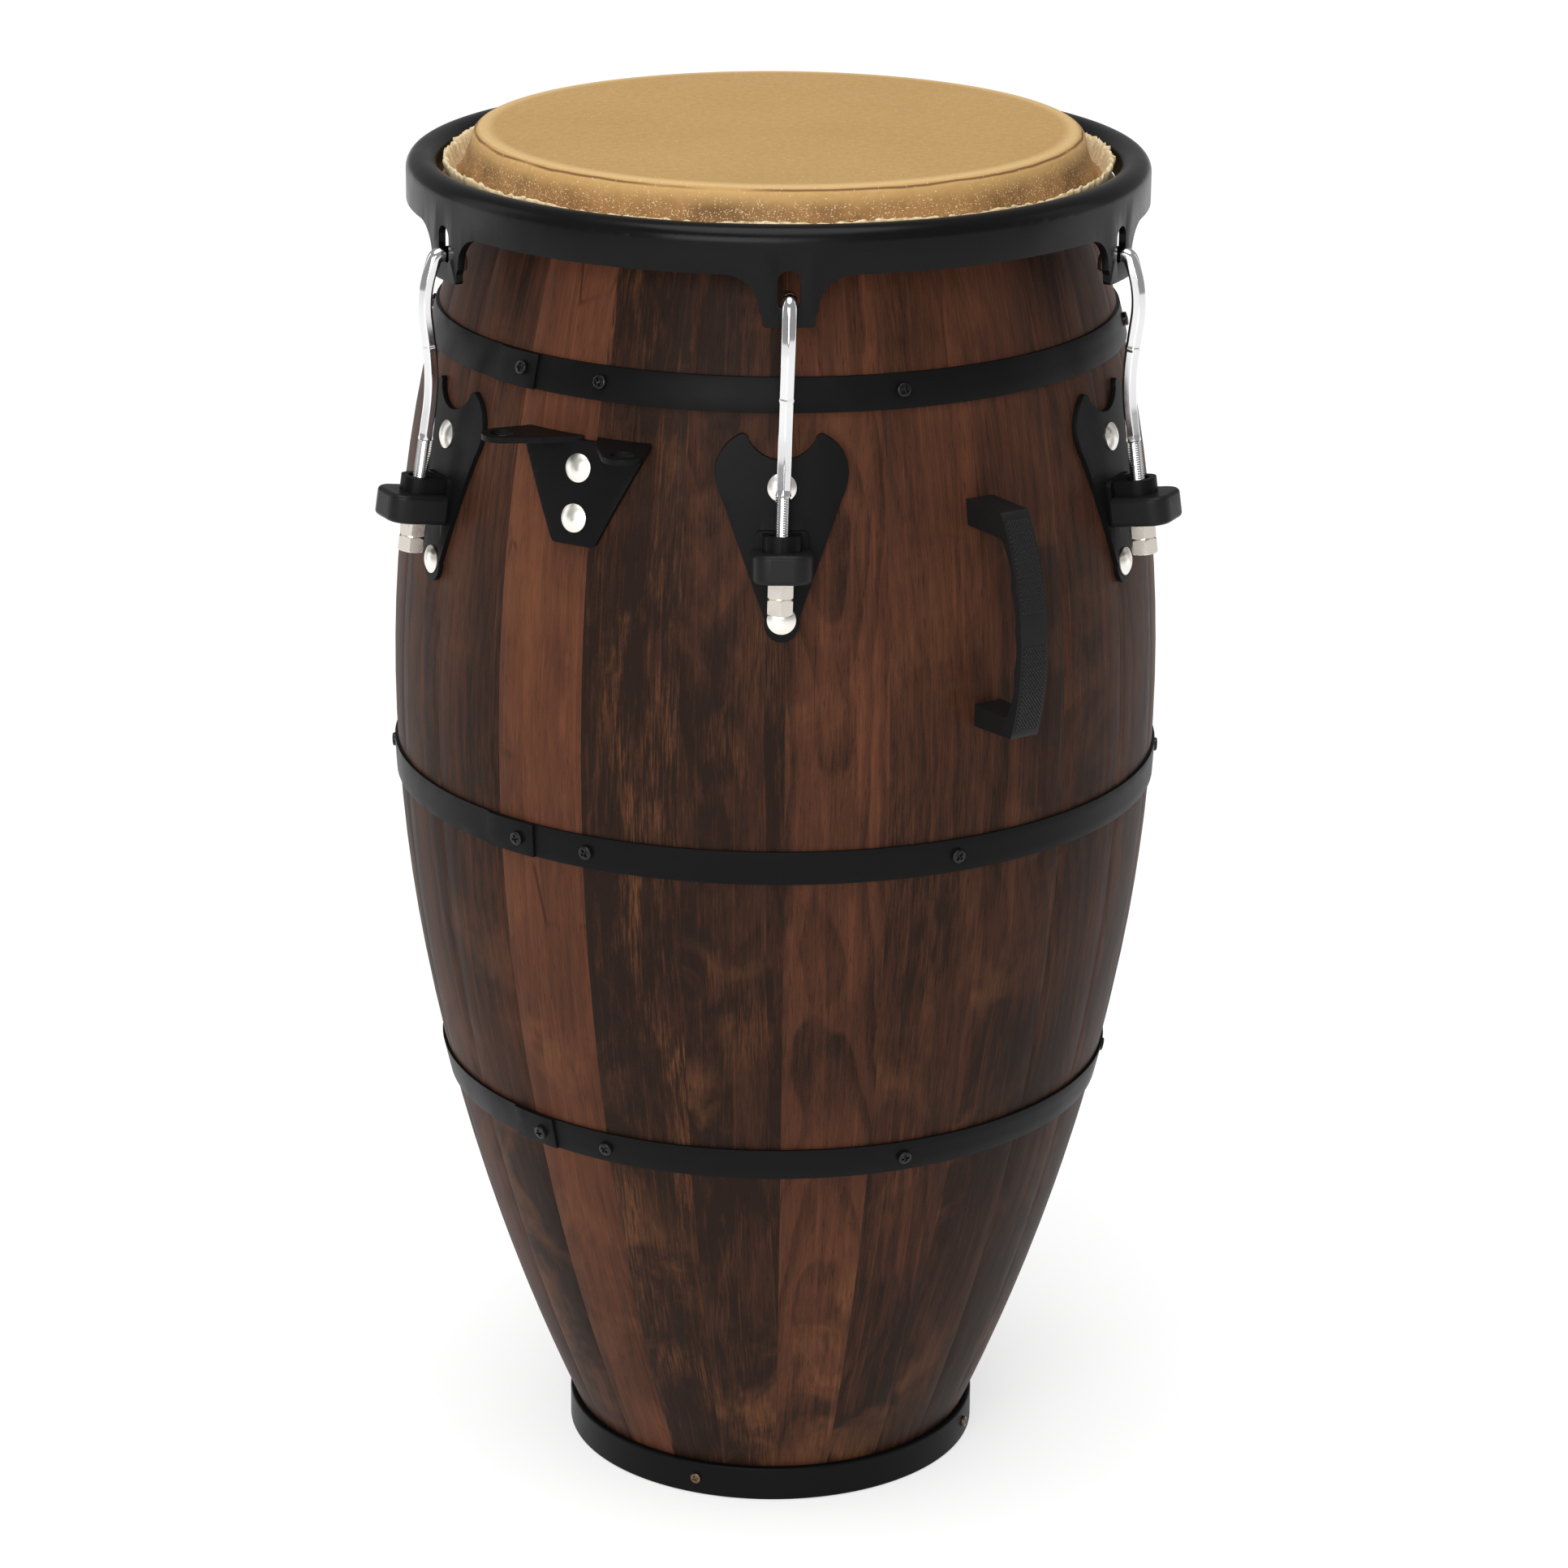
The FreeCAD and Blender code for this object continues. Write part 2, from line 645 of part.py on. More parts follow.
def rounded_front(name, reach, half, corner, length, back, soften=0.0):
    """A block round the rod's axis with rounded front corners and flat sides running back."""
    body = new_body(name)
    pad = padded(body, name + "_pad",
                 [(reach - corner, -half, corner), (reach, -half + corner), (reach, half - corner, corner),
                  (reach - corner, half), (-back, half), (-back, -half)],
                 "XY_Plane", length, centred=False)
    if soften:
        doc.recompute()
        edges = [f"Edge{number + 1}" for number, edge in enumerate(pad.Shape.Edges)
                 if edge.BoundBox.ZLength < 1e-6 and edge.BoundBox.XMax > -back + 1.0]
        round_over = body.newObject("PartDesign::Fillet", name + "_soft")
        round_over.Base = (pad, edges)
        bind(round_over, Radius=soften)
    return body


def make_lugs(nodes):
    """Shield plates that follow the barrel, each with a round receiver welded on for its rod."""
    gauge = size("plate_gauge")
    weld = size("weld_gauge")
    shield = new_body("shield_shape")
    padded(shield, "shield_prism", shield_outline(), "YZ_Plane", 600.0)
    plate = common("shield_plate", skin_piece("shield_skin", 530.0, 650.0, 0.0, gauge), shield)
    foot_shape = new_body("weld_foot_shape")
    padded(foot_shape, "weld_foot_prism",
           [(-13.6, 571.0), (13.6, 571.0), (13.6, 592.5, 3.0), (10.6, 595.5), (-10.6, 595.5, 3.0),
            (-13.6, 592.5)], "YZ_Plane", 600.0)
    weld_foot = common("weld_foot", skin_piece("weld_skin", 560.0, 610.0, gauge, gauge + weld), foot_shape)
    receiver_half = size("receiver_radius")
    receiver_corner = receiver_half - 0.5
    receiver = on_rod("receiver_leaning", rounded_front(
        "receiver_block", receiver_half, receiver_half, receiver_corner, size("receiver_length"), 30.0))
    trimmed = cut("receiver_trimmed", receiver, shell_core("plate_core", gauge))
    whole = fused("lug_whole", [plate, weld_foot, trimmed])
    floor = size("receiver_floor")
    recess = cylinder("receiver_recess", size("receiver_bore") / 2, size("receiver_length"), 0, floor)
    bore = cylinder("receiver_bore_cut", size("rod_hole") / 2, 30.0, 0, -10.0)
    tools = [on_rod("recess_leaning", recess), on_rod("bore_leaning", bore)]
    for level in BOLT_LEVELS:
        name = f"lug_bolt_hole_{level:.0f}"
        tools.append(seated(name + "_seat", cylinder(name, size("bolt_hole") / 2, 20.0, 0, -10.0), level))
    master = cut("lug_master", whole, gathered("lug_cuts", tools))
    boots = []
    boot_block = on_rod("boot_leaning", rounded_front(
        "boot_block", size("boot_reach"), size("boot_width") / 2, size("boot_round"),
        size("boot_length"), 24.0, 2.4))
    hollow = on_rod("boot_hollow_leaning", rounded_front(
        "boot_hollow", receiver_half, receiver_half, receiver_corner, size("receiver_length"), 40.0))
    boot_open = cut("boot_open", boot_block, hollow)
    boot_master = cut("boot_master", boot_open, shell_core("weld_core", gauge + weld))
    for number, turn in enumerate(lug_turns(), start=1):
        name = f"lug_plate_{number}"
        nodes[name] = turned(name, master, turn)
        boots.append(turned(f"lug_boot_{number}", boot_master, turn))
    nodes["lug_boots"] = gathered("lug_boots", boots)


# ---- tuning hooks and nuts -----------------------------------------------------------------------

def hook_outline():
    """Side outline of the squared bar: up inside the rim, out over the slot's foot and on
    outwards, then down beside the drum in a long bow until it lies on the rod's axis."""
    width = float(size("bar_width"))
    bend = 4.8
    over = 5.7
    tail = 5.5
    crossing = float(size("slot_foot_level")) + float(size("fit_gap")) + width / 2
    upright = float(size("rim_radius")) + 1.4 + bend
    start = (upright - over - 2 * bend, crossing - bend - tail)
    over_rim = [(tail,), (-90.0, bend), (over,), (-70.0, bend)]
    shank = [(5.0,), (-27.0, 55.0), (18.0,)]
    heading = 90.0 + sum(move[0] for move in over_rim + shank if len(move) == 2)
    onto_rod = [(float(size("rod_tilt")) - 90.0 - heading, 120.0), (15.0,)]
    return strip(start, 90.0, over_rim + shank + onto_rod, width)


def leaned(name, source):
    """The source swung a little sideways about the line out of the drum at the lean's level."""
    item = gathered(name, [source])
    pivot = size("hook_lean_level")
    lean = math.radians(size("hook_lean"))
    aside = -pivot * math.sin(lean)
    item.Placement.Rotation = FreeCAD.Rotation(FreeCAD.Vector(-1, 0, 0), 1.0)
    item.Placement.Base.z = float(pivot) * (1 - math.cos(lean))
    item.setExpression("Placement.Base.y", text_of(aside))
    item.setExpression("Placement.Rotation.Angle", text_of(size("hook_lean")))
    return item


def make_hooks(nodes):
    """Hooks with a squared bar above and a round threaded rod below."""
    bar = new_body("hook_bar")
    pad = padded(bar, "hook_bar_pad", hook_outline(), "XZ_Plane", size("bar_width"))
    doc.recompute()
    edges = [f"Edge{number + 1}" for number, edge in enumerate(pad.Shape.Edges)
             if edge.BoundBox.YLength < 1e-6]
    soften = bar.newObject("PartDesign::Chamfer", "hook_bar_edges")
    soften.Base = (pad, edges)
    bind(soften, Size=size("bar_chamfer"))
    rod = on_rod("hook_rod_leaning", cylinder("hook_rod", size("rod_radius"), 64.0, 0, -18.0))
    master = leaned("hook_master", fused("hook_shape", [bar, rod]))
    for number, turn in enumerate(lug_turns(), start=1):
        name = f"tuning_hook_{number}"
        nodes[name] = turned(name, master, turn)


def hexagon(flats):
    """Corners of a hexagon of a width across flats, a corner on +X first."""
    reach = flats / math.sqrt(3)
    return [(reach * math.cos(math.radians(60 * side)), reach * math.sin(math.radians(60 * side)))
            for side in range(6)]


def make_nuts(nodes):
    """Long hexagon nuts with a ring groove, chamfered ends and a clear bore for the rod."""
    flats = size("nut_flats")
    length = size("nut_length")
    body = new_body("nut_body")
    padded(body, "nut_hexagon", hexagon(flats), "XY_Plane", length, centred=False)
    ends = new_body("nut_ends")
    outer = flats * 0.58
    inner = flats / 2
    groove = 1.0
    bore = size("nut_bore") / 2
    revolved(ends, "nut_turning",
             [(bore, 0.0), (inner, 0.0), (outer, 1.0), (outer, length / 2 - groove),
              (inner - 0.2, length / 2), (outer, length / 2 + groove), (outer, length - 1.0),
              (inner, length), (bore, length)])
    hung = leaned("nut_master", on_rod(
        "nut_hung", common("nut_shape", body, ends), -(length + size("fit_gap"))))
    for number, turn in enumerate(lug_turns(), start=1):
        name = f"tuning_nut_{number}"
        nodes[name] = turned(name, hung, turn)


# ---- bracket and handle --------------------------------------------------------------------------

def make_bracket(nodes):
    """A tapered plate on the barrel with two flat ears bent out at its top, each with a bore."""
    gauge = size("bracket_gauge")
    top = size("bracket_top_level")
    foot = size("bracket_foot_level")
    wide = size("bracket_top_width") / 2
    narrow = size("bracket_foot_width") / 2
    shape = new_body("bracket_shape")
    padded(shape, "bracket_prism",
           [(-narrow + 3.0, foot), (narrow - 3.0, foot, 3.6), (narrow, foot + 2.0), (wide, top - 4.0),
            (wide, top), (-wide, top), (-wide, top - 4.0), (-narrow, foot + 2.0, 3.6)],
           "YZ_Plane", 600.0)
    plate = common("bracket_plate", skin_piece("bracket_skin", 575.0, 640.0, 0.0, gauge), shape)
    reach = size("ear_reach")
    round_end = size("ear_round")
    fold = shell_radius(top) + gauge * 0.5
    pieces = [plate]
    bores = []
    root_half = size("ear_root_width") / 2
    for side, sign in (("left", -1), ("right", 1)):
        ear = new_body(f"bracket_{side}_ear")
        padded(ear, f"bracket_{side}_ear_pad",
               [(-16.0, -root_half), (6.0, -root_half), (reach, -round_end, round_end),
                (reach + round_end, 0.0, round_end), (reach, round_end), (6.0, root_half),
                (-16.0, root_half)], "XY_Plane", gauge, centred=False)
        bore = cylinder(f"bracket_{side}_bore", size("ear_bore") / 2, 20.0, 0, -10.0)
        bore.Placement.Base = FreeCAD.Vector(float(reach), 0, -10.0)
        for piece in (ear, bore):
            placed = gathered(piece.Name + "_placed", [piece])
            angle = sign * float(size(f"{side}_ear_splay"))
            spot = FreeCAD.Vector(float(fold), sign * float(size(f"{side}_ear_root")), float(top) - 1.0)
            placed.Placement = FreeCAD.Placement(spot, FreeCAD.Rotation(FreeCAD.Vector(0, 0, 1), angle))
            (bores if piece is bore else pieces).append(placed)
    joined = cut("bracket_joined", fused("bracket_whole", pieces), shell_core("bracket_core", 0.0))
    for level in BRACKET_BOLT_LEVELS:
        name = f"bracket_bolt_hole_{level:.0f}"
        bores.append(seated(name + "_seat", cylinder(name, size("bolt_hole") / 2, 20.0, 0, -10.0), level))
    master = cut("bracket_master", joined, gathered("bracket_cuts", bores))
    nodes["accessory_bracket"] = turned("accessory_bracket", master, size("bracket_turn"))


def handle_outline():
    """Side outline: a bowed grip with finger hollows inside, on two square feet."""
    top = size("handle_top_level")
    foot = size("handle_foot_level")
    step = size("handle_foot")
    outer = [(244.7, foot + 3.5, 134.0), (231.0, top)]
    back = 190.0
    hollows = 4
    low = (242.5, float(foot) + float(step) + 5.0)
    high = (234.5, float(top) - float(step) - 3.0)
    bow = 7.8
    inner = []
    for number in range(hollows + 1):
        share = number / hollows
        across = high[0] + (low[0] - high[0]) * share + bow * math.sin(math.pi * share)
        up = high[1] + (low[1] - high[1]) * share
        inner.append((across, up, -30.0) if number < hollows else (across, up, -5.0))
    corners = [(back, foot)] + outer + [(back, top), (back, top - step)]
    corners += [(high[0] - 5.0, top - step, -5.0)] + inner
    corners += [(low[0] - 5.0, foot + step), (back, foot + step)]
    return corners


def make_handle(nodes):
    """A moulded grip, tapped at each foot for a screw from inside the drum."""
    body = new_body("handle_block")
    padded(body, "handle_pad", handle_outline(), "XZ_Plane", size("handle_width"))
    seat = cut("handle_seated", body, shell_core("handle_core", 0.0))
    holes = []
    for level in HANDLE_SCREW_LEVELS:
        name = f"handle_hole_{level:.0f}"
        drill = cylinder(name, size("bolt_radius"), 22.0, 0, -10.0)
        holes.append(seated(name + "_seat", drill, level))
    master = cut("handle_master", seat, gathered("handle_holes", holes))
    nodes["side_handle"] = turned("side_handle", master, size("handle_turn"))


# ---- fasteners -----------------------------------------------------------------------------------

def bolt_body(name, head_radius, rise, shank, length):
    """A round-headed fastener along Z, its head standing on the surface at Z = 0."""
    body = new_body(name)
    edge = rise * 0.2
    crown = (head_radius * head_radius + (rise - edge) * (rise - edge)) / ((rise - edge) * 2)
    revolved(body, name + "_turn",
             [(0.0, -length), (shank, -length), (shank, 0.0), (head_radius, 0.0),
              (head_radius, edge, crown), (0.0, rise)])
    return body


def make_bolts(nodes):
    """Round-headed bolts through the plates and staves, each with a washer and a nut inside."""
    wall = size("wall_gauge")
    clear = 0.3
    washer_gauge = 1.5
    nut_height = 5.0
    lengths = {"lug": size("plate_gauge"), "bracket": size("bracket_gauge")}
    flat_washer = cut("washer_shape", cylinder("washer_disc", 8.0, washer_gauge),
                      cylinder("washer_hole", size("bolt_hole") / 2, 10.0, 0, -5.0))
    nut = new_body("bolt_nut_hexagon")
    padded(nut, "bolt_nut_pad", hexagon(10.0), "XY_Plane", nut_height, centred=False)
    flat_nut = cut("bolt_nut_shape", nut, cylinder("bolt_nut_hole", size("bolt_radius"), 20.0, 0, -5.0))
    bolts, washers, nuts = [], [], []
    for kind, gauge in lengths.items():
        length = gauge + wall + clear + washer_gauge + nut_height + 1.5
        bolt = bolt_body(f"{kind}_bolt", size("bolt_head_radius"), size("bolt_head_rise"),
                         size("bolt_radius"), length)
        turns = lug_turns() if kind == "lug" else [size("bracket_turn")]
        for level in (BOLT_LEVELS if kind == "lug" else BRACKET_BOLT_LEVELS):
            name = f"{kind}_bolt_{level:.0f}"
            inside = -(wall + clear + washer_gauge)
            places = ((bolts, bolt, gauge, ""), (washers, flat_washer, inside, "_washer"),
                      (nuts, flat_nut, inside - nut_height, "_nut"))
            for group, source, stand_off, suffix in places:
                seat = seated(name + suffix + "_seat", source, level, stand_off)
                for number, turn in enumerate(turns, start=1):
                    group.append(turned(f"{name}{suffix}_{number}", seat, turn))
    nodes["carriage_bolts"] = gathered("carriage_bolts", bolts)
    nodes["bolt_washers"] = gathered("bolt_washers", washers)
    nodes["bolt_nuts"] = gathered("bolt_nuts", nuts)


def make_screws(nodes):
    """Pan-head screws round the bands and the foot, and the handle's screws from inside."""
    head = size("screw_head_radius")
    rise = size("screw_head_rise")
    screw = bolt_body("band_screw", head, rise, size("screw_radius"), size("screw_length"))
    gauge = size("band_gauge")
    group = []
    for band, turns in BAND_SCREW_TURNS.items():
        level = size(f"{band}_band_level")
        single = seated(f"{band}_screw_seat", screw, level, gauge)
        lapped = seated(f"{band}_lapped_screw_seat", screw, level, gauge * 2)
        for number, turn in enumerate(turns):
            seat = lapped if number == LAPPED_SCREW else single
            group.append(turned(f"{band}_screw_{number}", seat, turn))
    nodes["band_screws"] = gathered("band_screws", group)
    small = bolt_body("foot_screw", head * 0.8, rise * 0.7, size("screw_radius"), size("screw_length"))
    foot_seat = level_seat("foot_screw_seat", small, size("foot_band_radius"), FOOT_SCREW_LEVEL)
    nodes["foot_screws"] = gathered("foot_screws", [
        turned(f"foot_screw_{number}", foot_seat, turn) for number, turn in enumerate(FOOT_SCREW_TURNS)])
    inner = bolt_body("handle_screw", 6.0, 3.5, size("bolt_radius"), 22.0)
    over = gathered("handle_screw_turned", [inner])
    over.Placement = FreeCAD.Placement(FreeCAD.Vector(), FreeCAD.Rotation(FreeCAD.Vector(1, 0, 0), 180))
    stand_off = -(size("wall_gauge") + 0.3)
    nodes["handle_screws"] = gathered("handle_screws", [
        turned(f"handle_screw_{level:.0f}", seated(f"handle_screw_{level:.0f}_seat", over, level, stand_off),
               size("handle_turn")) for level in HANDLE_SCREW_LEVELS])


def check_and_write(nodes):
    """Stop on any failed object, then write each sub-part to its own file."""
    doc.recompute()
    for item in doc.Objects:
        if "Invalid" in item.State or "Error" in item.State:
            raise RuntimeError(f"{item.Name} failed: {item.State}")
    os.makedirs("parts", exist_ok=True)
    for name, item in nodes.items():
        item.Label = name
        if item.Shape.isNull() or not item.Shape.isValid() or not item.Shape.Solids:
            raise RuntimeError(f"{name} has no valid solid")
        solids = item.Shape.Solids
        shape = solids[0] if len(solids) == 1 else Part.makeCompound(solids)
        shape.exportStep(f"parts/{name}.step")
        box = shape.BoundBox
        print(f"{name}: {len(solids)} solid(s), {shape.Volume / 1000:.1f} cm3, "
              f"z {box.ZMin:.1f} to {box.ZMax:.1f}")


def build():
    fill_sheet()
    nodes = {}
    drills = make_drills()
    make_staves(nodes, drills)
    for place in BAND_SEAM_TURNS:
        make_band(nodes, drills, place)
    make_foot_band(nodes, drills)
    make_head(nodes)
    make_rim(nodes)
    make_lugs(nodes)
    make_hooks(nodes)
    make_nuts(nodes)
    make_bracket(nodes)
    make_handle(nodes)
    make_bolts(nodes)
    make_screws(nodes)
    check_and_write(nodes)


build()
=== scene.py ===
import math

import bmesh
import bpy
import numpy as np
from mathutils import Matrix, Vector


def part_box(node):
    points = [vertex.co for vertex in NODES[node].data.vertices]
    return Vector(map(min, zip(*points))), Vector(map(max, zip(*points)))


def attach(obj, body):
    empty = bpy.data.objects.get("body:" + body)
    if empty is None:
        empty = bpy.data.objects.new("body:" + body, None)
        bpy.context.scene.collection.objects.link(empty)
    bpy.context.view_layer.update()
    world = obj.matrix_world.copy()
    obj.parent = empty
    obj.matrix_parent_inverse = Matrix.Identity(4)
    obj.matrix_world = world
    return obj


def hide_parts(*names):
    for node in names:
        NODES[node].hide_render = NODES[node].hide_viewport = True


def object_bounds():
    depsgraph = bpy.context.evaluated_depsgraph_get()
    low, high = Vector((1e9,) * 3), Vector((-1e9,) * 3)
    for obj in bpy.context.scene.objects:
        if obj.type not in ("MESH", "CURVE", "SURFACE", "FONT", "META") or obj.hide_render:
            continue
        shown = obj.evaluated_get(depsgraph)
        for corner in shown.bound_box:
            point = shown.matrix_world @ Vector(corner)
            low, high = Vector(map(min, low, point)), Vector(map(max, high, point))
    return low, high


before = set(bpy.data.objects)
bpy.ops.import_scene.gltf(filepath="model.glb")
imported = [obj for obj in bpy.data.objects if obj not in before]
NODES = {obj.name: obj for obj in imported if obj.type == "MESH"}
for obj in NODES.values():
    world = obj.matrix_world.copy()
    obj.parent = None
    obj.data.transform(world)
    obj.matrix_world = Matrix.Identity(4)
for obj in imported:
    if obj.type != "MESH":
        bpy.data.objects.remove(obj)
cad_low, cad_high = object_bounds()
MM = 0.001

# A conga drum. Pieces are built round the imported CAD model, in metres, +Z up, front at -Y.
# A turn is measured from the front towards +X, in degrees.

LUG_TURNS = (0.8, 62.8, 124.8, 180.8, 236.8, 298.8)
STAVE_COUNT = 24
STAVE_TURN = 1.4
FULL_TURN = 360.0


# ---- scene ----------------------------------------------------------------------------------

def link(obj):
    bpy.context.scene.collection.objects.link(obj)
    return obj


def aim(obj, place, target):
    obj.location = place
    obj.rotation_mode = "QUATERNION"
    obj.rotation_quaternion = (Vector(target) - Vector(place)).to_track_quat("-Z", "Y")


def make_camera():
    """A long lens from a little above, tipped down and rolled very slightly."""
    data = bpy.data.cameras.new("camera")
    data.sensor_width = 36.0
    data.lens = 111.76
    data.clip_start = 0.05
    data.clip_end = 60.0
    camera = link(bpy.data.objects.new("camera", data))
    camera.location = (0.0, -2.602, 1.273)
    down, yaw, roll = math.radians(18.76), math.radians(-0.117), math.radians(0.42)
    turn = Matrix.Rotation(yaw, 3, "Z") @ Matrix.Rotation(math.pi / 2 - down, 3, "X")
    camera.rotation_euler = (turn @ Matrix.Rotation(roll, 3, "Z")).to_euler()
    bpy.context.scene.camera = camera


def softbox(name, place, target, width, height, power):
    data = bpy.data.lights.new(name, "AREA")
    data.shape = "RECTANGLE"
    data.size = width
    data.size_y = height
    data.energy = power
    aim(link(bpy.data.objects.new(name, data)), place, target)


def make_world():
    """White where the camera sees past the floor, and a dimmer wash of light from all round."""
    world = bpy.data.worlds.new("studio")
    world.use_nodes = True
    tree = world.node_tree
    path = tree.nodes.new("ShaderNodeLightPath")
    level = tree.nodes.new("ShaderNodeMapRange")
    level.inputs["To Min"].default_value = 0.34
    level.inputs["To Max"].default_value = 1.05
    tree.links.new(path.outputs["Is Camera Ray"], level.inputs["Value"])
    background = tree.nodes["Background"]
    background.inputs["Color"].default_value = (1.0, 1.0, 1.0, 1.0)
    tree.links.new(level.outputs["Result"], background.inputs["Strength"])
    return world


def soft_sun(name, place, strength, spread):
    data = bpy.data.lights.new(name, "SUN")
    data.energy = strength
    data.angle = math.radians(spread)
    aim(link(bpy.data.objects.new(name, data)), place, (0.0, 0.0, 0.0))


def make_studio():
    """A pale floor under broad soft lights."""
    scene = bpy.context.scene
    scene.view_settings.view_transform = "Standard"
    scene.world = make_world()
    mesh = bpy.data.meshes.new("floor")
    reach = 20.0
    mesh.from_pydata([(-reach, -reach, 0), (reach, -reach, 0), (reach, reach, 0), (-reach, reach, 0)],
                     [], [(0, 1, 2, 3)])
    floor = link(bpy.data.objects.new("floor", mesh))
    floor.location.z = cad_low.z - 0.0005
    floor.data.materials.append(floor_paint())
    middle = (0.0, 0.0, 0.45)
    soft_sun("overhead", (-0.04, -0.16, 1.0), 0.60 * math.pi, 48.0)
    softbox("front_high", (-0.8, -3.4, 1.7), (0.0, 0.0, 0.6), 2.6, 1.8, 72.0)
    softbox("left_side", (-1.9, 0.3, 1.0), middle, 0.7, 2.0, 5.0)
    softbox("right_side", (1.9, 0.3, 1.0), middle, 0.7, 2.0, 2.5)


# ---- shader wiring --------------------------------------------------------------------------

class Paint:
    """A material being wired: each call adds a node and returns its output socket."""

    def __init__(self, name, **settings):
        self.material = bpy.data.materials.new(name)
        self.material.use_nodes = True
        self.tree = self.material.node_tree
        self.shader = self.tree.nodes["Principled BSDF"]
        for key, value in settings.items():
            self.shader.inputs[key.replace("_", " ")].default_value = value

    def _feed(self, socket, value):
        if isinstance(value, bpy.types.NodeSocket):
            self.tree.links.new(value, socket)
        elif isinstance(value, tuple) and len(value) == 3 and len(socket.default_value) == 4:
            socket.default_value = value + (1.0,)
        else:
            socket.default_value = value

    def place(self, turn=0.0, stretch=(1.0, 1.0, 1.0), shift=(0.0, 0.0, 0.0)):
        """Object coordinates turned about Z, stretched and shifted."""
        source = self.tree.nodes.new("ShaderNodeTexCoord")
        first = self.tree.nodes.new("ShaderNodeMapping")
        first.inputs["Rotation"].default_value = (0.0, 0.0, math.radians(-turn))
        self.tree.links.new(source.outputs["Object"], first.inputs["Vector"])
        second = self.tree.nodes.new("ShaderNodeMapping")
        second.inputs["Scale"].default_value = stretch
        second.inputs["Location"].default_value = shift
        self.tree.links.new(first.outputs["Vector"], second.inputs["Vector"])
        return second.outputs["Vector"]

    def noise(self, vector, scale=1.0, detail=2.0, rough=0.5, warp=0.0):
        node = self.tree.nodes.new("ShaderNodeTexNoise")
        self._feed(node.inputs["Vector"], vector)
        self._feed(node.inputs["Scale"], scale)
        self._feed(node.inputs["Detail"], detail)
        self._feed(node.inputs["Roughness"], rough)
        self._feed(node.inputs["Distortion"], warp)
        return node.outputs["Fac"]

    def cells(self, vector, scale=1.0, feature="F1", output="Distance"):
        node = self.tree.nodes.new("ShaderNodeTexVoronoi")
        node.feature = feature
        self._feed(node.inputs["Vector"], vector)
        self._feed(node.inputs["Scale"], scale)
        return node.outputs[output]

    def math(self, operation, first, second=0.0, clamp=False):
        node = self.tree.nodes.new("ShaderNodeMath")
        node.operation = operation
        node.use_clamp = clamp
        for socket, value in zip(node.inputs, (first, second)):
            self._feed(socket, value)
        return node.outputs[0]

    def split(self, vector):
        node = self.tree.nodes.new("ShaderNodeSeparateXYZ")
        self._feed(node.inputs[0], vector)
        return node.outputs

    def join(self, across, depth, up):
        node = self.tree.nodes.new("ShaderNodeCombineXYZ")
        for socket, value in zip(node.inputs, (across, depth, up)):
            self._feed(socket, value)
        return node.outputs[0]

    def span(self, value, low, high, to_low=0.0, to_high=1.0):
        """A value eased from one range to another and held at its ends."""
        node = self.tree.nodes.new("ShaderNodeMapRange")
        node.interpolation_type = "SMOOTHSTEP"
        for key, number in (("Value", value), ("From Min", low), ("From Max", high),
                            ("To Min", to_low), ("To Max", to_high)):
            self._feed(node.inputs[key], number)
        return node.outputs["Result"]

    def mix(self, share, first, second):
        node = self.tree.nodes.new("ShaderNodeMix")
        node.data_type = "RGBA"
        self._feed(node.inputs[0], share)
        self._feed(node.inputs[6], first)
        self._feed(node.inputs[7], second)
        return node.outputs[2]

    def bump(self, height, distance, strength=1.0):
        node = self.tree.nodes.new("ShaderNodeBump")
        self._feed(node.inputs["Height"], height)
        node.inputs["Distance"].default_value = distance
        node.inputs["Strength"].default_value = strength
        self.tree.links.new(node.outputs["Normal"], self.shader.inputs["Normal"])

    def colour(self, value):
        self._feed(self.shader.inputs["Base Color"], value)

    def rough(self, value):
        self._feed(self.shader.inputs["Roughness"], value)


# ---- materials ------------------------------------------------------------------------------

def grey(level):
    return level, level, level


def floor_paint():
    paint = Paint("pale_floor", Roughness=0.7)
    paint.shader.inputs["Specular IOR Level"].default_value = 0.1
    paint.shader.inputs["Emission Color"].default_value = (1.0, 1.0, 1.0, 1.0)
    paint.shader.inputs["Emission Strength"].default_value = 0.62
    grain = paint.noise(paint.place(), 3.0, 3.0)
    paint.colour(paint.mix(grain, grey(0.44), grey(0.46)))
    return paint.material


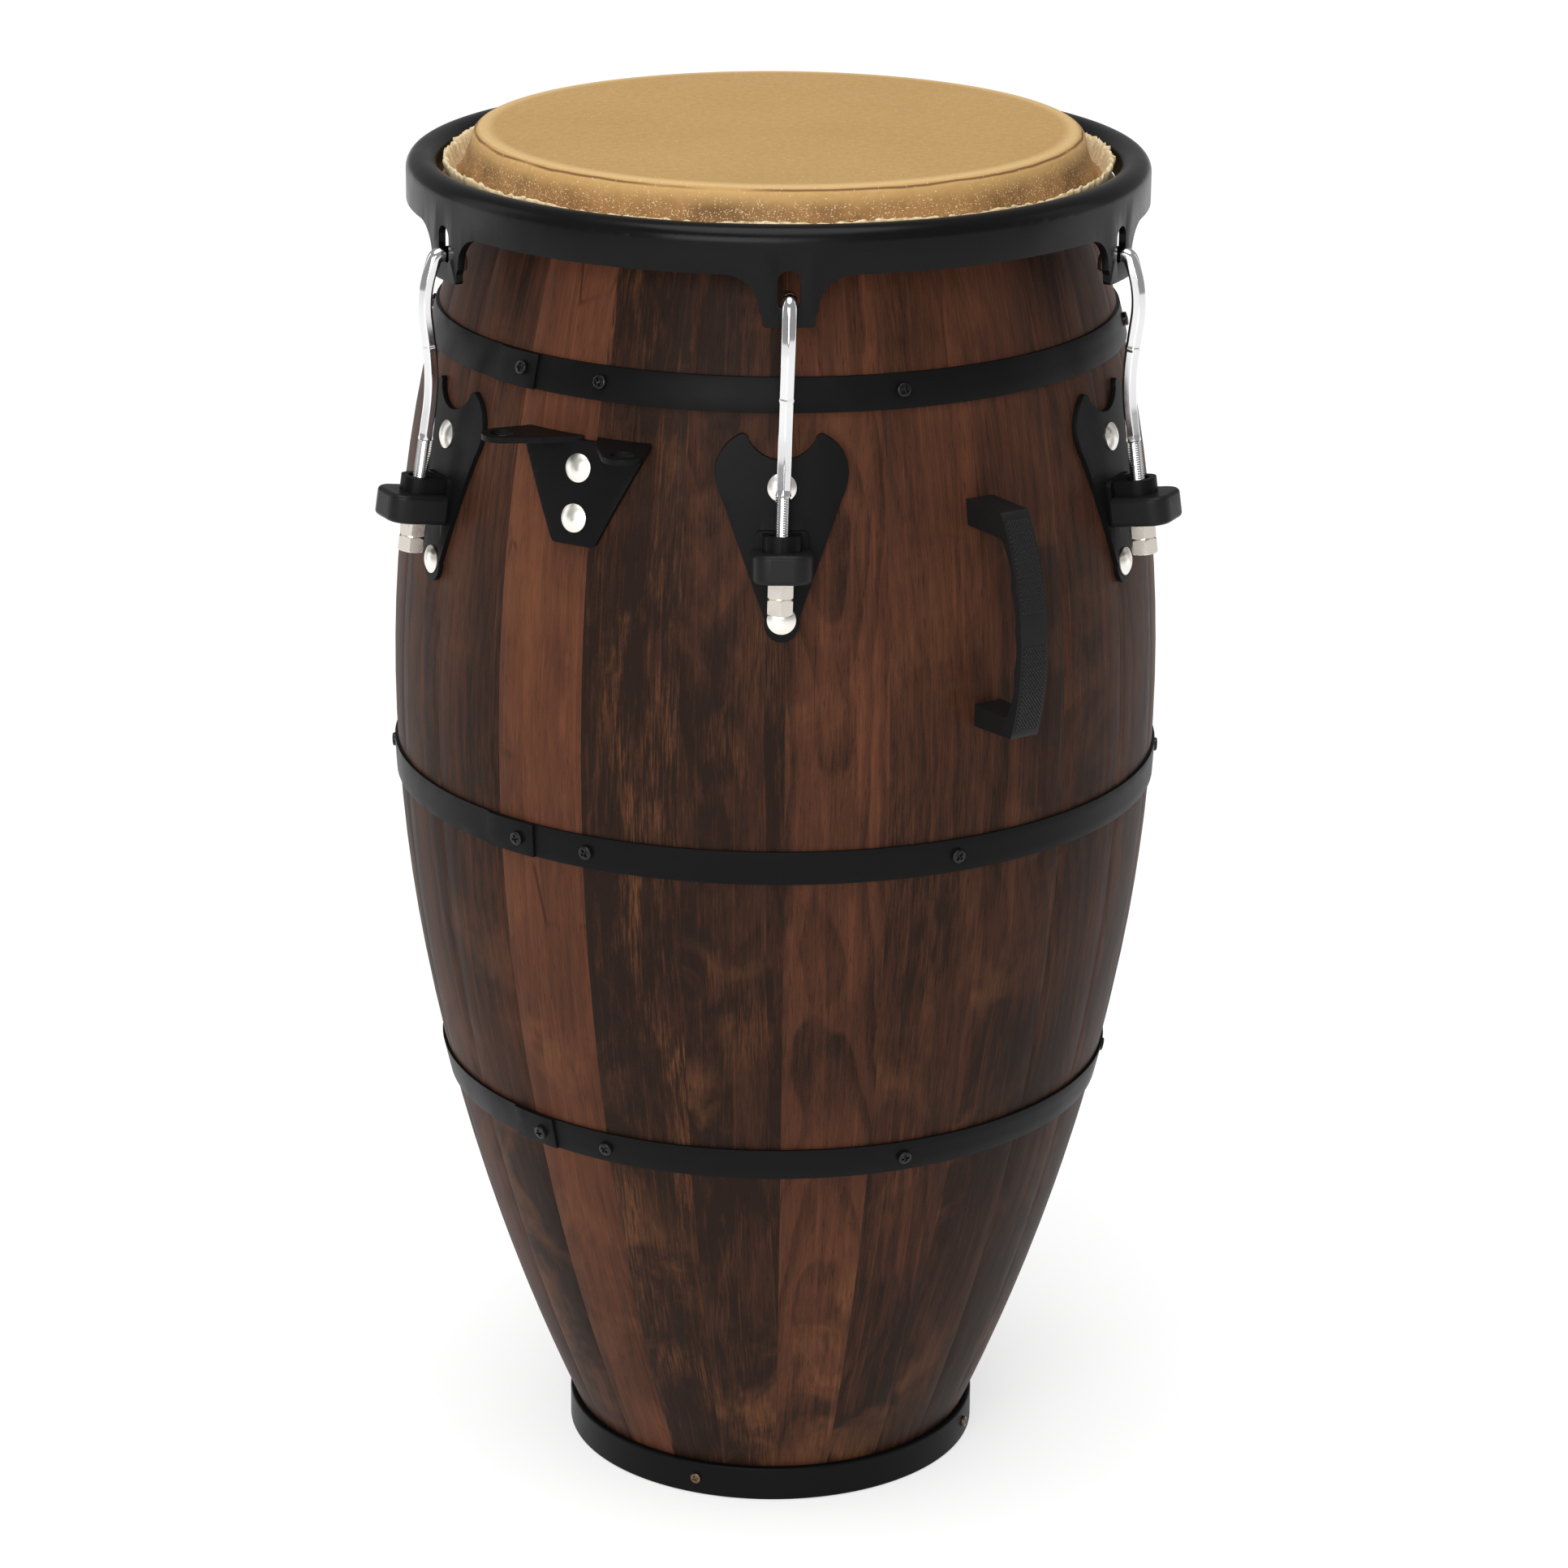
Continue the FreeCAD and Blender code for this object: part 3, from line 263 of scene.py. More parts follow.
# how far each stave's stain goes from dark to pale, how far off its board's heart it was cut,
# how strong the painted sheen on its fibres is, and how much its growth rings show
STAVES = {
    1: (0.42, 0.045, 0.30, 0.13), 2: (0.20, 0.160, 0.25, 0.05), 3: (0.19, 0.110, 0.10, 0.04),
    4: (0.15, 0.150, 0.10, 0.05), 5: (0.20, 0.060, 0.20, 0.10), 6: (0.32, 0.120, 0.10, 0.04),
    7: (0.12, 0.170, 0.50, 0.03), 8: (0.44, 0.050, 0.20, 0.12), 9: (0.24, 0.130, 0.20, 0.04),
    10: (0.15, 0.080, 0.10, 0.08), 11: (0.60, 0.150, 0.30, 0.04), 12: (0.28, 0.055, 0.10, 0.12),
    13: (0.12, 0.120, 0.70, 0.03), 14: (0.34, 0.090, 0.10, 0.07), 15: (0.22, 0.170, 0.20, 0.04),
    16: (0.50, 0.050, 0.20, 0.12), 17: (0.17, 0.140, 0.60, 0.04), 18: (0.30, 0.070, 0.10, 0.09),
    19: (0.14, 0.150, 0.30, 0.04), 20: (0.26, 0.060, 0.10, 0.08), 21: (0.17, 0.130, 0.15, 0.05),
    22: (0.56, 0.170, 0.25, 0.05), 23: (0.02, 0.120, 1.00, 0.03), 24: (0.07, 0.070, 0.45, 0.06),
}
KNOTTED = (6, 11, 16, 22)
DARK_STAIN, PALE_STAIN = (0.0165, 0.0086, 0.0060), (0.136, 0.0475, 0.0240)
# painted sheen colours, for the streaks along the fibres and for the soft waves
PAINTED_SHEEN_TINT, PAINTED_WAVE_SHEEN_TINT = (0.215, 0.082, 0.034), (0.205, 0.082, 0.034)
PORE_TINT, KNOT_TINT = (0.010, 0.005, 0.0035), (0.028, 0.012, 0.007)
RING_SPACING = 0.0046
FAR_HEART, HEART_SIDE = 0.1, 0.04       # a board cut farther off than this shows one side of its arches


class Board:
    """A stave's own coordinates in metres: across it and up it, moved to its own place in the grain."""

    def __init__(self, paint, number):
        self.paint = paint
        self.seed = number * 1.37
        turn = STAVE_TURN + FULL_TURN / STAVE_COUNT * (number - 0.5)
        place = paint.place(turn, shift=(0.0, 0.0, self.seed))
        self.across, _, self.up = paint.split(place)

    def stretched(self, per_across, per_up, layer=0.0):
        """A vector with this many features a metre each way, on a layer of its own."""
        return self.paint.join(self.paint.math("MULTIPLY", self.across, per_across), self.seed + layer,
                               self.paint.math("MULTIPLY", self.up, per_up))

    def noise(self, per_across, per_up, layer, detail=2.0, rough=0.5, warp=0.0):
        return self.paint.noise(self.stretched(per_across, per_up, layer), 1.0, detail, rough, warp)


def growth_rings(paint, board, heart):
    """Rings of a tree cut along a board: arches near the heart, straight lines away from it."""
    sway = board.noise(6.0, 3.2, 1.0, 3.0, 0.45)
    wander = board.noise(40.0, 14.0, 4.0)
    offset = paint.math("ADD", board.across, heart - HEART_SIDE if heart > FAR_HEART else 0.0)
    reach = paint.math("SQRT", paint.math("ADD", paint.math("MULTIPLY", offset, offset), heart * heart))
    reach = paint.math("ADD", reach, paint.math("MULTIPLY", sway, 0.055))
    reach = paint.math("ADD", reach, paint.math("MULTIPLY", wander, 0.006))
    ring = paint.math("FRACT", paint.math("MULTIPLY", reach, 1 / RING_SPACING))
    return paint.math("SUBTRACT", paint.span(ring, 0.3, 0.85), paint.span(ring, 0.88, 1.0))


def grain_lines(paint, board):
    """Fine broken lines that run the height of the board, and the tone of the strips between them."""
    drift = paint.math("MULTIPLY", board.noise(3.0, 5.0, 12.0), 0.5)
    place = paint.join(paint.math("ADD", paint.math("MULTIPLY", board.across, 72.0), drift),
                       board.seed, paint.math("MULTIPLY", board.up, 0.7))
    edge = paint.cells(place, 1.0, "DISTANCE_TO_EDGE")
    strip = paint.split(paint.cells(place, 1.0, "F1", "Color"))[0]
    broken = paint.span(board.noise(60.0, 26.0, 15.0, 3.0), 0.42, 0.6)
    line = paint.math("MULTIPLY", paint.span(edge, 0.012, 0.05, 1.0, 0.0), broken)
    return line, strip


def knots(paint, board):
    """Short dark splits that curve across the grain."""
    edge = paint.cells(board.stretched(26.0, 11.0, 21.0), 1.0, "DISTANCE_TO_EDGE")
    mask = paint.span(board.noise(34.0, 24.0, 23.0), 0.56, 0.64)
    return paint.math("MULTIPLY", paint.span(edge, 0.004, 0.03, 1.0, 0.0), mask)


def stain_and_painted_light(paint, board, number, height, fibre):
    """How far the stain goes from dark to pale: in clouds, fibres, streaks, specks and strips, with its
    growth rings dark and its fine lines pale, and with painted light and shade, paler towards the head
    and darker towards the foot."""
    stain, heart, _, ringing = STAVES[number]
    darkest, palest = -0.11 - 0.14 * stain, 0.12 + 0.10 * stain
    cloud = board.noise(18.0, 7.0, 2.0, 5.0, 0.56, 0.5)
    streak = board.noise(330.0, 9.0, 7.0, 3.0, 0.6)
    speck = board.noise(1300.0, 2300.0, 8.0, 3.0, 0.65)
    late = growth_rings(paint, board, heart)
    line, strip = grain_lines(paint, board)
    # painted light and shade: paler towards the head, darker towards the foot
    share = paint.math("ADD", stain, paint.span(height, 0.10, 0.70, -0.095, 0.070))
    share = paint.math("ADD", share, paint.span(cloud, 0.30, 0.70, darkest, palest))
    for layer, weight in ((fibre, 0.50), (streak, 0.20), (speck, 0.34), (strip, 0.12)):
        centred = paint.math("SUBTRACT", layer, 0.5)
        share = paint.math("ADD", share, paint.math("MULTIPLY", centred, weight))
    share = paint.math("SUBTRACT", share, paint.math("MULTIPLY", late, 1.6 * ringing))
    return paint.math("ADD", share, paint.math("MULTIPLY", line, 0.16), clamp=True)


def painted_sheen_streaks(paint, board, fibre):
    """Painted sheen: paler streaks where long fibres would catch the light."""
    patch = paint.span(board.noise(30.0, 9.0, 17.0, 6.0, 0.66, 0.6), 0.47, 0.70)
    return paint.math("MULTIPLY", patch, paint.span(fibre, 0.36, 0.66))


def painted_wave_sheen(paint, board, height, fibre):
    """Painted sheen: soft pale waves across the grain, stronger towards the foot."""
    wave = paint.span(board.noise(19.0, 21.0, 27.0, 4.0, 0.55, 0.7), 0.46, 0.68)
    for layer in (paint.span(board.noise(8.0, 5.0, 31.0), 0.42, 0.62),
                  paint.span(fibre, 0.25, 0.60, 0.5, 1.0),
                  paint.span(height, 0.05, 0.50, 0.42, 0.16)):
        wave = paint.math("MULTIPLY", wave, layer)
    return wave


def stave_wood(number):
    """Stained hardwood: uneven stain, growth rings, fine lines, fibres and pores, and painted sheen."""
    shimmer = STAVES[number][2]
    paint = Paint(f"stave_wood_{number:02d}")
    paint.shader.inputs["Specular IOR Level"].default_value = 0.06
    board = Board(paint, number)
    height = paint.split(paint.place())[2]
    fibre = board.noise(1100.0, 60.0, 6.0, 3.0, 0.65)
    pore = paint.span(board.noise(1500.0, 90.0, 9.0, 1.0), 0.66, 0.73)
    body = paint.mix(stain_and_painted_light(paint, board, number, height, fibre), DARK_STAIN, PALE_STAIN)
    # painted sheen: pale streaks along the fibres
    painted_gleam = paint.math("MULTIPLY", painted_sheen_streaks(paint, board, fibre), 0.46 * shimmer)
    body = paint.mix(painted_gleam, body, PAINTED_SHEEN_TINT)
    # painted sheen: soft pale waves, stronger towards the foot
    body = paint.mix(painted_wave_sheen(paint, board, height, fibre), body, PAINTED_WAVE_SHEEN_TINT)
    body = paint.mix(paint.math("MULTIPLY", pore, 0.5), body, PORE_TINT)
    if number in KNOTTED:
        body = paint.mix(paint.math("MULTIPLY", knots(paint, board), 0.75), body, KNOT_TINT)
    paint.colour(body)
    paint.rough(paint.span(fibre, 0.2, 0.8, 0.44, 0.56))
    relief = paint.math("SUBTRACT", paint.math("MULTIPLY", fibre, 0.6), pore)
    paint.bump(relief, 0.00008, 0.6)
    return paint.material


def powder_coat(name, shade, rough, specular):
    """Baked powder paint: nearly black, with the fine orange-peel that the bake leaves."""
    paint = Paint(name)
    paint.shader.inputs["Specular IOR Level"].default_value = specular
    place = paint.place()
    peel = paint.noise(place, 900.0, 2.0, 0.5)
    dust = paint.span(paint.cells(place, 160.0), 0.0, 0.03, 1.0, 0.0)
    wear = paint.noise(place, 14.0, 3.0, 0.6)
    tint = paint.mix(wear, grey(shade * 0.85), grey(shade * 1.2))
    paint.colour(paint.mix(paint.math("MULTIPLY", dust, 0.25), tint, (0.06, 0.06, 0.06)))
    paint.rough(paint.span(wear, 0.3, 0.7, rough - 0.04, rough + 0.05))
    paint.bump(peel, 0.00008, 0.5)
    return paint.material


def plated_metal(name, tint, rough, uneven=0.35):
    """Bright plate with fine polishing lines and faint haze."""
    paint = Paint(name, Metallic=1.0)
    place = paint.place()
    haze = paint.noise(place, 60.0, 3.0, 0.6)
    lines = paint.noise(paint.place(stretch=(2200.0, 2200.0, 90.0)), 1.0, 2.0)
    paint.colour(paint.mix(haze, tuple(0.93 * part for part in tint), tint))
    paint.rough(paint.math("ADD", paint.span(haze, 0.3, 0.7, rough * (1 - uneven), rough * (1 + uneven)),
                           paint.math("MULTIPLY", lines, 0.02)))
    paint.bump(lines, 0.00001, 0.35)
    return paint.material


def boot_rubber():
    paint = Paint("boot_rubber")
    paint.shader.inputs["Specular IOR Level"].default_value = 0.14
    place = paint.place()
    bloom = paint.noise(place, 30.0, 4.0, 0.6)
    grit = paint.noise(place, 1400.0, 2.0, 0.6)
    speck = paint.span(paint.cells(place, 330.0), 0.0, 0.05, 1.0, 0.0)
    body = paint.mix(bloom, (0.007, 0.007, 0.0072), (0.012, 0.012, 0.0123))
    paint.colour(paint.mix(paint.math("MULTIPLY", speck, 0.3), body, (0.09, 0.09, 0.09)))
    paint.rough(paint.span(bloom, 0.3, 0.7, 0.30, 0.42))
    paint.bump(grit, 0.00006, 0.5)
    return paint.material


def handle_plastic(name, specular, shade):
    """Moulded black plastic with a fine spark-etched skin."""
    paint = Paint(name)
    paint.shader.inputs["Specular IOR Level"].default_value = specular
    place = paint.place()
    etch = paint.noise(place, 1800.0, 2.0, 0.6)
    cloud = paint.noise(place, 25.0, 3.0)
    paint.colour(paint.mix(cloud, grey(0.75 * shade), grey(1.25 * shade)))
    paint.rough(paint.span(cloud, 0.3, 0.7, 0.44, 0.52))
    paint.bump(etch, 0.00008, 0.6)
    return paint.material


def hide_paint():
    """Pressed tan hide: soft mottling, fibres as pale flecks, a painted highlight band and a painted
    shade line at the bearing edge, and browner flanks."""
    paint = Paint("head_hide")
    paint.shader.inputs["Specular IOR Level"].default_value = 0.14
    place = paint.place()
    x, y, up = paint.split(place)
    squares = paint.math("ADD", paint.math("MULTIPLY", x, x), paint.math("MULTIPLY", y, y))
    reach = paint.math("SQRT", squares)
    cloud = paint.noise(place, 9.0, 4.0, 0.55)
    mottle = paint.noise(place, 260.0, 3.0, 0.6)
    skin = paint.mix(cloud, (0.475, 0.285, 0.104), (0.580, 0.368, 0.146))
    skin = paint.mix(paint.span(mottle, 0.3, 0.8, 0.0, 0.3), skin, (0.37, 0.21, 0.072))
    flank = paint.span(up, HEAD_TOP - 0.003, HEAD_TOP - 0.013, 0.0, 1.0)
    blotch = paint.noise(place, 26.0, 5.0, 0.65)
    brown = paint.mix(paint.span(blotch, 0.3, 0.65), (0.125, 0.055, 0.021), (0.36, 0.190, 0.073))
    skin = paint.mix(paint.math("MULTIPLY", flank, 0.85), skin, brown)
    # painted highlight: a pale band where the hide rounds over the bearing edge
    comes, goes = PAINTED_HIGHLIGHT_BAND
    painted_highlight = paint.math("MULTIPLY", paint.span(reach, *comes), paint.span(reach, *goes, 1.0, 0.0))
    skin = paint.mix(paint.math("MULTIPLY", painted_highlight, 0.55), skin, (0.80, 0.57, 0.28))
    # painted shade: a dark, patchy line in the crease over the bearing edge
    drift = paint.math("MULTIPLY", paint.math("SUBTRACT", paint.noise(place, 30.0, 3.0), 0.5), 0.0018)
    edge = paint.math("ABSOLUTE", paint.math("SUBTRACT", paint.math("ADD", reach, drift), RING_RADIUS))
    patch = paint.span(paint.noise(place, 13.0, 2.0), 0.34, 0.58, 0.1, 0.9)
    painted_crease_shade = paint.math("MULTIPLY", paint.span(edge, 0.0002, 0.0009, 1.0, 0.0), patch)
    painted_crease_shade = paint.math("MULTIPLY", painted_crease_shade, paint.span(up, HEAD_TOP - 0.008, HEAD_TOP - 0.006))
    skin = paint.mix(painted_crease_shade, skin, (0.15, 0.065, 0.030))
    flecks = fleck_mask(paint, flank)
    paint.colour(paint.mix(flecks, skin, (0.90, 0.74, 0.44)))
    paint.rough(paint.span(mottle, 0.2, 0.8, 0.5, 0.62))
    paint.bump(paint.math("ADD", mottle, flecks), 0.0001, 0.5)
    return paint.material


def fleck_mask(paint, flank):
    """Short pale fibres lying every way, thicker on the flanks."""
    total = None
    for number, turn in enumerate((20.0, 75.0, 140.0)):
        along = paint.place(turn, (420.0, 1500.0, 900.0), (number * 7.3, 0.0, 0.0))
        near = paint.math("LESS_THAN", paint.cells(along), 0.26)
        chance = paint.split(paint.cells(along, 1.0, "F1", "Color"))[0]
        few = paint.math("SUBTRACT", 0.975, paint.math("MULTIPLY", flank, 0.30))
        mark = paint.math("MULTIPLY", near, paint.math("GREATER_THAN", chance, few))
        total = mark if total is None else paint.math("MAXIMUM", total, mark)
    return paint.math("MULTIPLY", total, 0.75)


def collar_paint():
    """The raw cut edge of the hide: cream with darker creases."""
    paint = Paint("hide_collar")
    paint.shader.inputs["Specular IOR Level"].default_value = 0.25
    place = paint.place()
    fray = paint.noise(place, 420.0, 4.0, 0.7)
    cloud = paint.noise(place, 50.0, 3.0)
    body = paint.mix(cloud, (0.62, 0.42, 0.18), (0.86, 0.70, 0.42))
    paint.colour(paint.mix(paint.span(fray, 0.35, 0.75), body, (0.93, 0.83, 0.60)))
    paint.rough(0.72)
    paint.bump(fray, 0.0004, 0.7)
    return paint.material


# ---- mesh helpers ---------------------------------------------------------------------------

def mesh_piece(name, points, faces, body, material, sharp=30.0):
    """A mesh object riding on a CAD body."""
    mesh = bpy.data.meshes.new(name)
    mesh.from_pydata([tuple(point) for point in points], [], faces)
    mesh.validate()
    bm = bmesh.new()
    bm.from_mesh(mesh)
    bmesh.ops.recalc_face_normals(bm, faces=bm.faces)
    bm.to_mesh(mesh)
    bm.free()
    mesh.polygons.foreach_set("use_smooth", [True] * len(mesh.polygons))
    mesh.set_sharp_from_angle(angle=math.radians(sharp))
    mesh.materials.append(material)
    obj = link(bpy.data.objects.new(name, mesh))
    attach(obj, body)
    return obj


def grid_faces(rows, columns, closed_rows=False, closed_columns=False, start=0):
    """Quads over a grid of points stored row by row."""
    faces = []
    for row in range(rows if closed_rows else rows - 1):
        for column in range(columns if closed_columns else columns - 1):
            after = (row + 1) % rows
            beside = (column + 1) % columns
            faces.append((start + row * columns + column, start + row * columns + beside,
                          start + after * columns + beside, start + after * columns + column))
    return faces


def capped(points, faces, rows, columns):
    """Closes both ends of a tube of rings with a fan."""
    for row, flip in ((0, True), (rows - 1, False)):
        ring = [row * columns + column for column in range(columns)]
        points.append(sum((Vector(points[number]) for number in ring), Vector()) / columns)
        hub = len(points) - 1
        for column in range(columns):
            pair = (ring[column], ring[(column + 1) % columns])
            faces.append((pair[1], pair[0], hub) if flip else (pair[0], pair[1], hub))


def turned_matrix(turn):
    """Local +X out of the drum, +Y to its right-hand side, +Z up, for a piece at a turn."""
    return Matrix.Rotation(math.radians(turn) - math.pi / 2, 4, "Z")


CAD_WELD = 0.00002      # joins the points that a CAD mesh repeats along its edges


def dress(node, material, soften=0.0):
    """A CAD node's finish, with its edges softened where asked."""
    obj = NODES[node]
    obj.data.materials.clear()
    obj.data.materials.append(material)
    if soften:
        weld = obj.modifiers.new("weld", "WELD")
        weld.merge_threshold = CAD_WELD
        bevel = obj.modifiers.new("soft_edges", "BEVEL")
        bevel.width = soften
        bevel.segments = 3
        bevel.limit_method = "ANGLE"
        bevel.angle_limit = math.radians(35)
        bevel.harden_normals = True


# ---- head -----------------------------------------------------------------------------------

HEAD_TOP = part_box("head_skin")[1].z
BEARING_RADIUS = 0.1640
RING_RADIUS = 0.1637
HOOP_LOW, HOOP_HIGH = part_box("flesh_hoop")
SKIN_THICKNESS = 0.002
EDGE_ROUND = 0.0045     # the radius of the bearing edge under the skin
WRAP_START = 128.0      # where the flank meets the hoop, from straight out towards the top
FLANK_SAG = 0.0006
WOBBLE_FROM, WOBBLE_OVER = 0.006, 0.01          # below the head's top
# the painted highlight band on the head
PAINTED_HIGHLIGHT_BAND = (0.1525, 0.1590), (0.1608, 0.1632)        # the radii where it comes and goes


def head_section():
    """Radius and height of the hide from the middle out: over the bearing edge, down the flank
    and round the flesh hoop."""
    wire = (HOOP_HIGH.z - HOOP_LOW.z) / 2
    hoop = HOOP_HIGH.x - wire
    level = (HOOP_HIGH.z + HOOP_LOW.z) / 2
    skin = SKIN_THICKNESS
    edge = EDGE_ROUND + skin
    bearing = BEARING_RADIUS
    flat_shares = (0.0, 0.12, 0.25, 0.4, 0.55, 0.7, 0.82, 0.9, 0.95)
    spots = [(bearing * share, HEAD_TOP) for share in flat_shares]
    for step in range(9):
        angle = math.radians(90 - step * 8.0)
        reach = bearing - edge + skin + edge * math.cos(angle)
        spots.append((reach, HEAD_TOP - edge + edge * math.sin(angle)))
    wrap = wire + skin
    last = spots[-1]
    start_angle = math.radians(WRAP_START)
    near = (hoop + wrap * math.cos(start_angle), level + wrap * math.sin(start_angle))
    for step in range(1, 7):
        share = step / 7
        sag = FLANK_SAG * math.sin(math.pi * share)
        reach = last[0] + (near[0] - last[0]) * share
        up = last[1] + (near[1] - last[1]) * share
        spots.append((reach - sag, up - sag))
    for step in range(15):
        angle = start_angle - math.radians(step * 20.0)
        spots.append((hoop + wrap * math.cos(angle), level + wrap * math.sin(angle)))
    return spots


def ripple(angle, *waves):
    """A wobble round the drum made of a few waves of different lengths."""
    return sum(size * math.sin(count * angle + phase) for count, size, phase in waves)


def make_head(finish):
    section = head_section()
    columns = 384
    points = []
    for reach, up in section:
        for column in range(columns):
            angle = 2 * math.pi * column / columns
            sag = ripple(angle, (3, 0.4, 0.3), (7, 0.3, 1.1), (19, 0.25, 2.0), (43, 0.2, 0.5))
            push = sag * MM * min(1.0, max(0.0, (HEAD_TOP - up - WOBBLE_FROM) / WOBBLE_OVER))
            points.append((math.sin(angle) * (reach + push), -math.cos(angle) * (reach + push), up))
    faces = grid_faces(len(section), columns, closed_columns=True)[columns:]
    faces += [(0, columns + column, columns + (column + 1) % columns) for column in range(columns)]
    head = mesh_piece("drum_head", points, faces, "drum", finish, 60.0)
    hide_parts("head_skin")


COLLAR_RADIUS, COLLAR_FLARE = 175.0, 5.4
COLLAR_HALF, COLLAR_TIP = 1.15, 0.05    # half its thickness, in the body and at its very top


def make_collar(finish):
    """The trimmed hide standing up behind the hoop, pleated and ragged along its top."""
    rng = np.random.default_rng(7)
    columns, rows = 1260, 10
    ragged = rng.normal(0.0, 1.0, columns)
    ragged = (np.roll(ragged, 1) + ragged + np.roll(ragged, -1)) / 3
    foot, crown = HOOP_HIGH.z - 0.0015, HOOP_HIGH.z + 0.0125
    points = []
    for side in (1, -1):
        for row in range(rows):
            share = (row if side > 0 else rows - 1 - row) / (rows - 1)
            for column in range(columns):
                angle = 2 * math.pi * column / columns
                pleat = ripple(angle, (131, 0.5, 0.4), (167, 0.45, 1.7), (89, 0.5, 2.6), (53, 0.3, 0.2))
                crest = ripple(angle, (5, 0.5, 0.8), (17, 0.5, 2.2), (113, 0.35, 0.0))
                crest += ragged[column] * 0.45
                thick = COLLAR_HALF * math.sqrt(max(0.0, 1 - share ** 6)) + COLLAR_TIP
                reach = COLLAR_RADIUS + COLLAR_FLARE * share ** 0.8 + pleat * share ** 0.6 + side * thick
                up = foot + (crown + crest * MM - foot) * share
                points.append((math.sin(angle) * reach * MM, -math.cos(angle) * reach * MM, up))
    faces = grid_faces(2 * rows, columns, True, True)
    mesh_piece("head_collar", points, faces, "drum", finish, 80.0)


# ---- hooks ----------------------------------------------------------------------------------

def walk(start, heading, moves, step):
    """Points and headings along a centre line of straight runs (length,) and bends (angle, radius)."""
    across, up = start
    angle = math.radians(heading)
    line = [(across, up, angle)]
    for move in moves:
        turn = math.radians(move[0]) if len(move) == 2 else 0.0
        length = abs(turn) * move[1] if turn else move[0]
        count = max(1, math.ceil(length / step))
        for _ in range(count):
            middle = angle + turn / count / 2
            chord = length / count
            across += math.cos(middle) * chord
            up += math.sin(middle) * chord
            angle += turn / count
            line.append((across, up, angle))
    return line


ROD_TILT = 8.8
HOOK_LEAN = 1.5
LEAN_LEVEL = 596.0
SEAT_RADIUS, SEAT_LEVEL = 219.3, 572.8
BEND, OVER, TAIL = 4.8, 5.7, 5.5
TAIL_TURN, SHANK_TURN = 90.0, 70.0              # the two sharp bends over the rim
BAR_HALF = 3.6
BAR_RADIUS, FLAT_DEPTH = 4.05, 0.42
TAIL_ROUND = 1.6        # how far back from its tip the tail is rounded
FLAT_EARLY, FLAT_RUN, FLAT_END = 2.0, 9.0, 2.5  # where and over what length the flats come and go
RING_PLACE = 47.0       # where a small ring is rolled into the bar, below its last sharp bend
RING_HEIGHT = 0.3
RIM_RADIUS, RIM_GAP = 201.4, 1.4
SLOT_FOOT, FIT_GAP = 711.0, 0.45
THREAD_PITCH = 1.25
THREAD_FOOT, THREAD_TOP = 18.0, 43.5
ROD_FOOT, ROD_CHAMFER = -18.0, 0.6
ROD_RADIUS, CHAMFER_RADIUS = 3.6, 3.0
THREAD_ROOT, THREAD_DEPTH = 3.3, 0.68


def lean_matrix():
    """Hooks and nuts swing a little sideways about the line out of the drum."""
    pivot = Vector((0.0, 0.0, LEAN_LEVEL * MM))
    swing = Matrix.Rotation(math.radians(-HOOK_LEAN), 4, "X")
    return Matrix.Translation(pivot) @ swing @ Matrix.Translation(-pivot)


def hook_line():
    crossing = SLOT_FOOT + FIT_GAP + BAR_HALF
    upright = RIM_RADIUS + RIM_GAP + BEND
    start = (upright - OVER - 2 * BEND, crossing - BEND - TAIL)
    hook = [(TAIL,), (-TAIL_TURN, BEND), (OVER,), (-SHANK_TURN, BEND)]
    shank = [(5.0,), (-27.0, 55.0), (18.0,), (ROD_TILT + 7.0, 120.0), (15.0,)]
    return walk(start, heading=90.0, moves=hook + shank, step=0.6)


def bar_radius(angle, flatness):
    """A round bar pressed towards six flats, with a ridge at its front and back."""
    flat = BAR_RADIUS - FLAT_DEPTH * flatness
    facet = math.cos((angle % (math.pi / 3)) - math.pi / 6)
    return min(BAR_RADIUS, flat / facet)


def make_hook(number, turn, finish):
    line = hook_line()
    columns = 72
    points = []
    travelled = 0.0
    bend_end = TAIL + OVER + BEND * math.radians(TAIL_TURN + SHANK_TURN)
    last = line[0]
    for across, up, heading in line:
        travelled += math.dist((across, up), last[:2])
        last = (across, up)
        flatness = min(1.0, max(0.0, (travelled - bend_end + FLAT_EARLY) / FLAT_RUN))
        flatness *= min(1.0, max(0.0, (line_length(line) - travelled) / FLAT_END))
        trim = 1.0
        if travelled < TAIL_ROUND:
            trim = math.sqrt(max(0.04, 1 - (1 - travelled / TAIL_ROUND) ** 2))
        collar = min(1.0, max(0.0, 3.2 - abs(travelled - bend_end - RING_PLACE) * 3))
        for column in range(columns):
            angle = 2 * math.pi * column / columns
            reach = bar_radius(angle, flatness) * trim + RING_HEIGHT * collar
            out = math.cos(angle) * reach
            side = math.sin(angle) * reach
            spot = (across - math.sin(heading) * out, side, up + math.cos(heading) * out)
            points.append(Vector(spot))
    faces = grid_faces(len(line), columns, closed_columns=True)
    capped(points, faces, len(line), columns)
    place = turned_matrix(turn) @ lean_matrix()
    points = [place @ (point * MM) for point in points]
    bar = mesh_piece(f"hook_bar_{number}", points, faces, f"hook_{number}", finish, 60.0)
    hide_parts(f"tuning_hook_{number}")


def line_length(line):
    return sum(math.dist(before[:2], after[:2]) for before, after in zip(line, line[1:]))


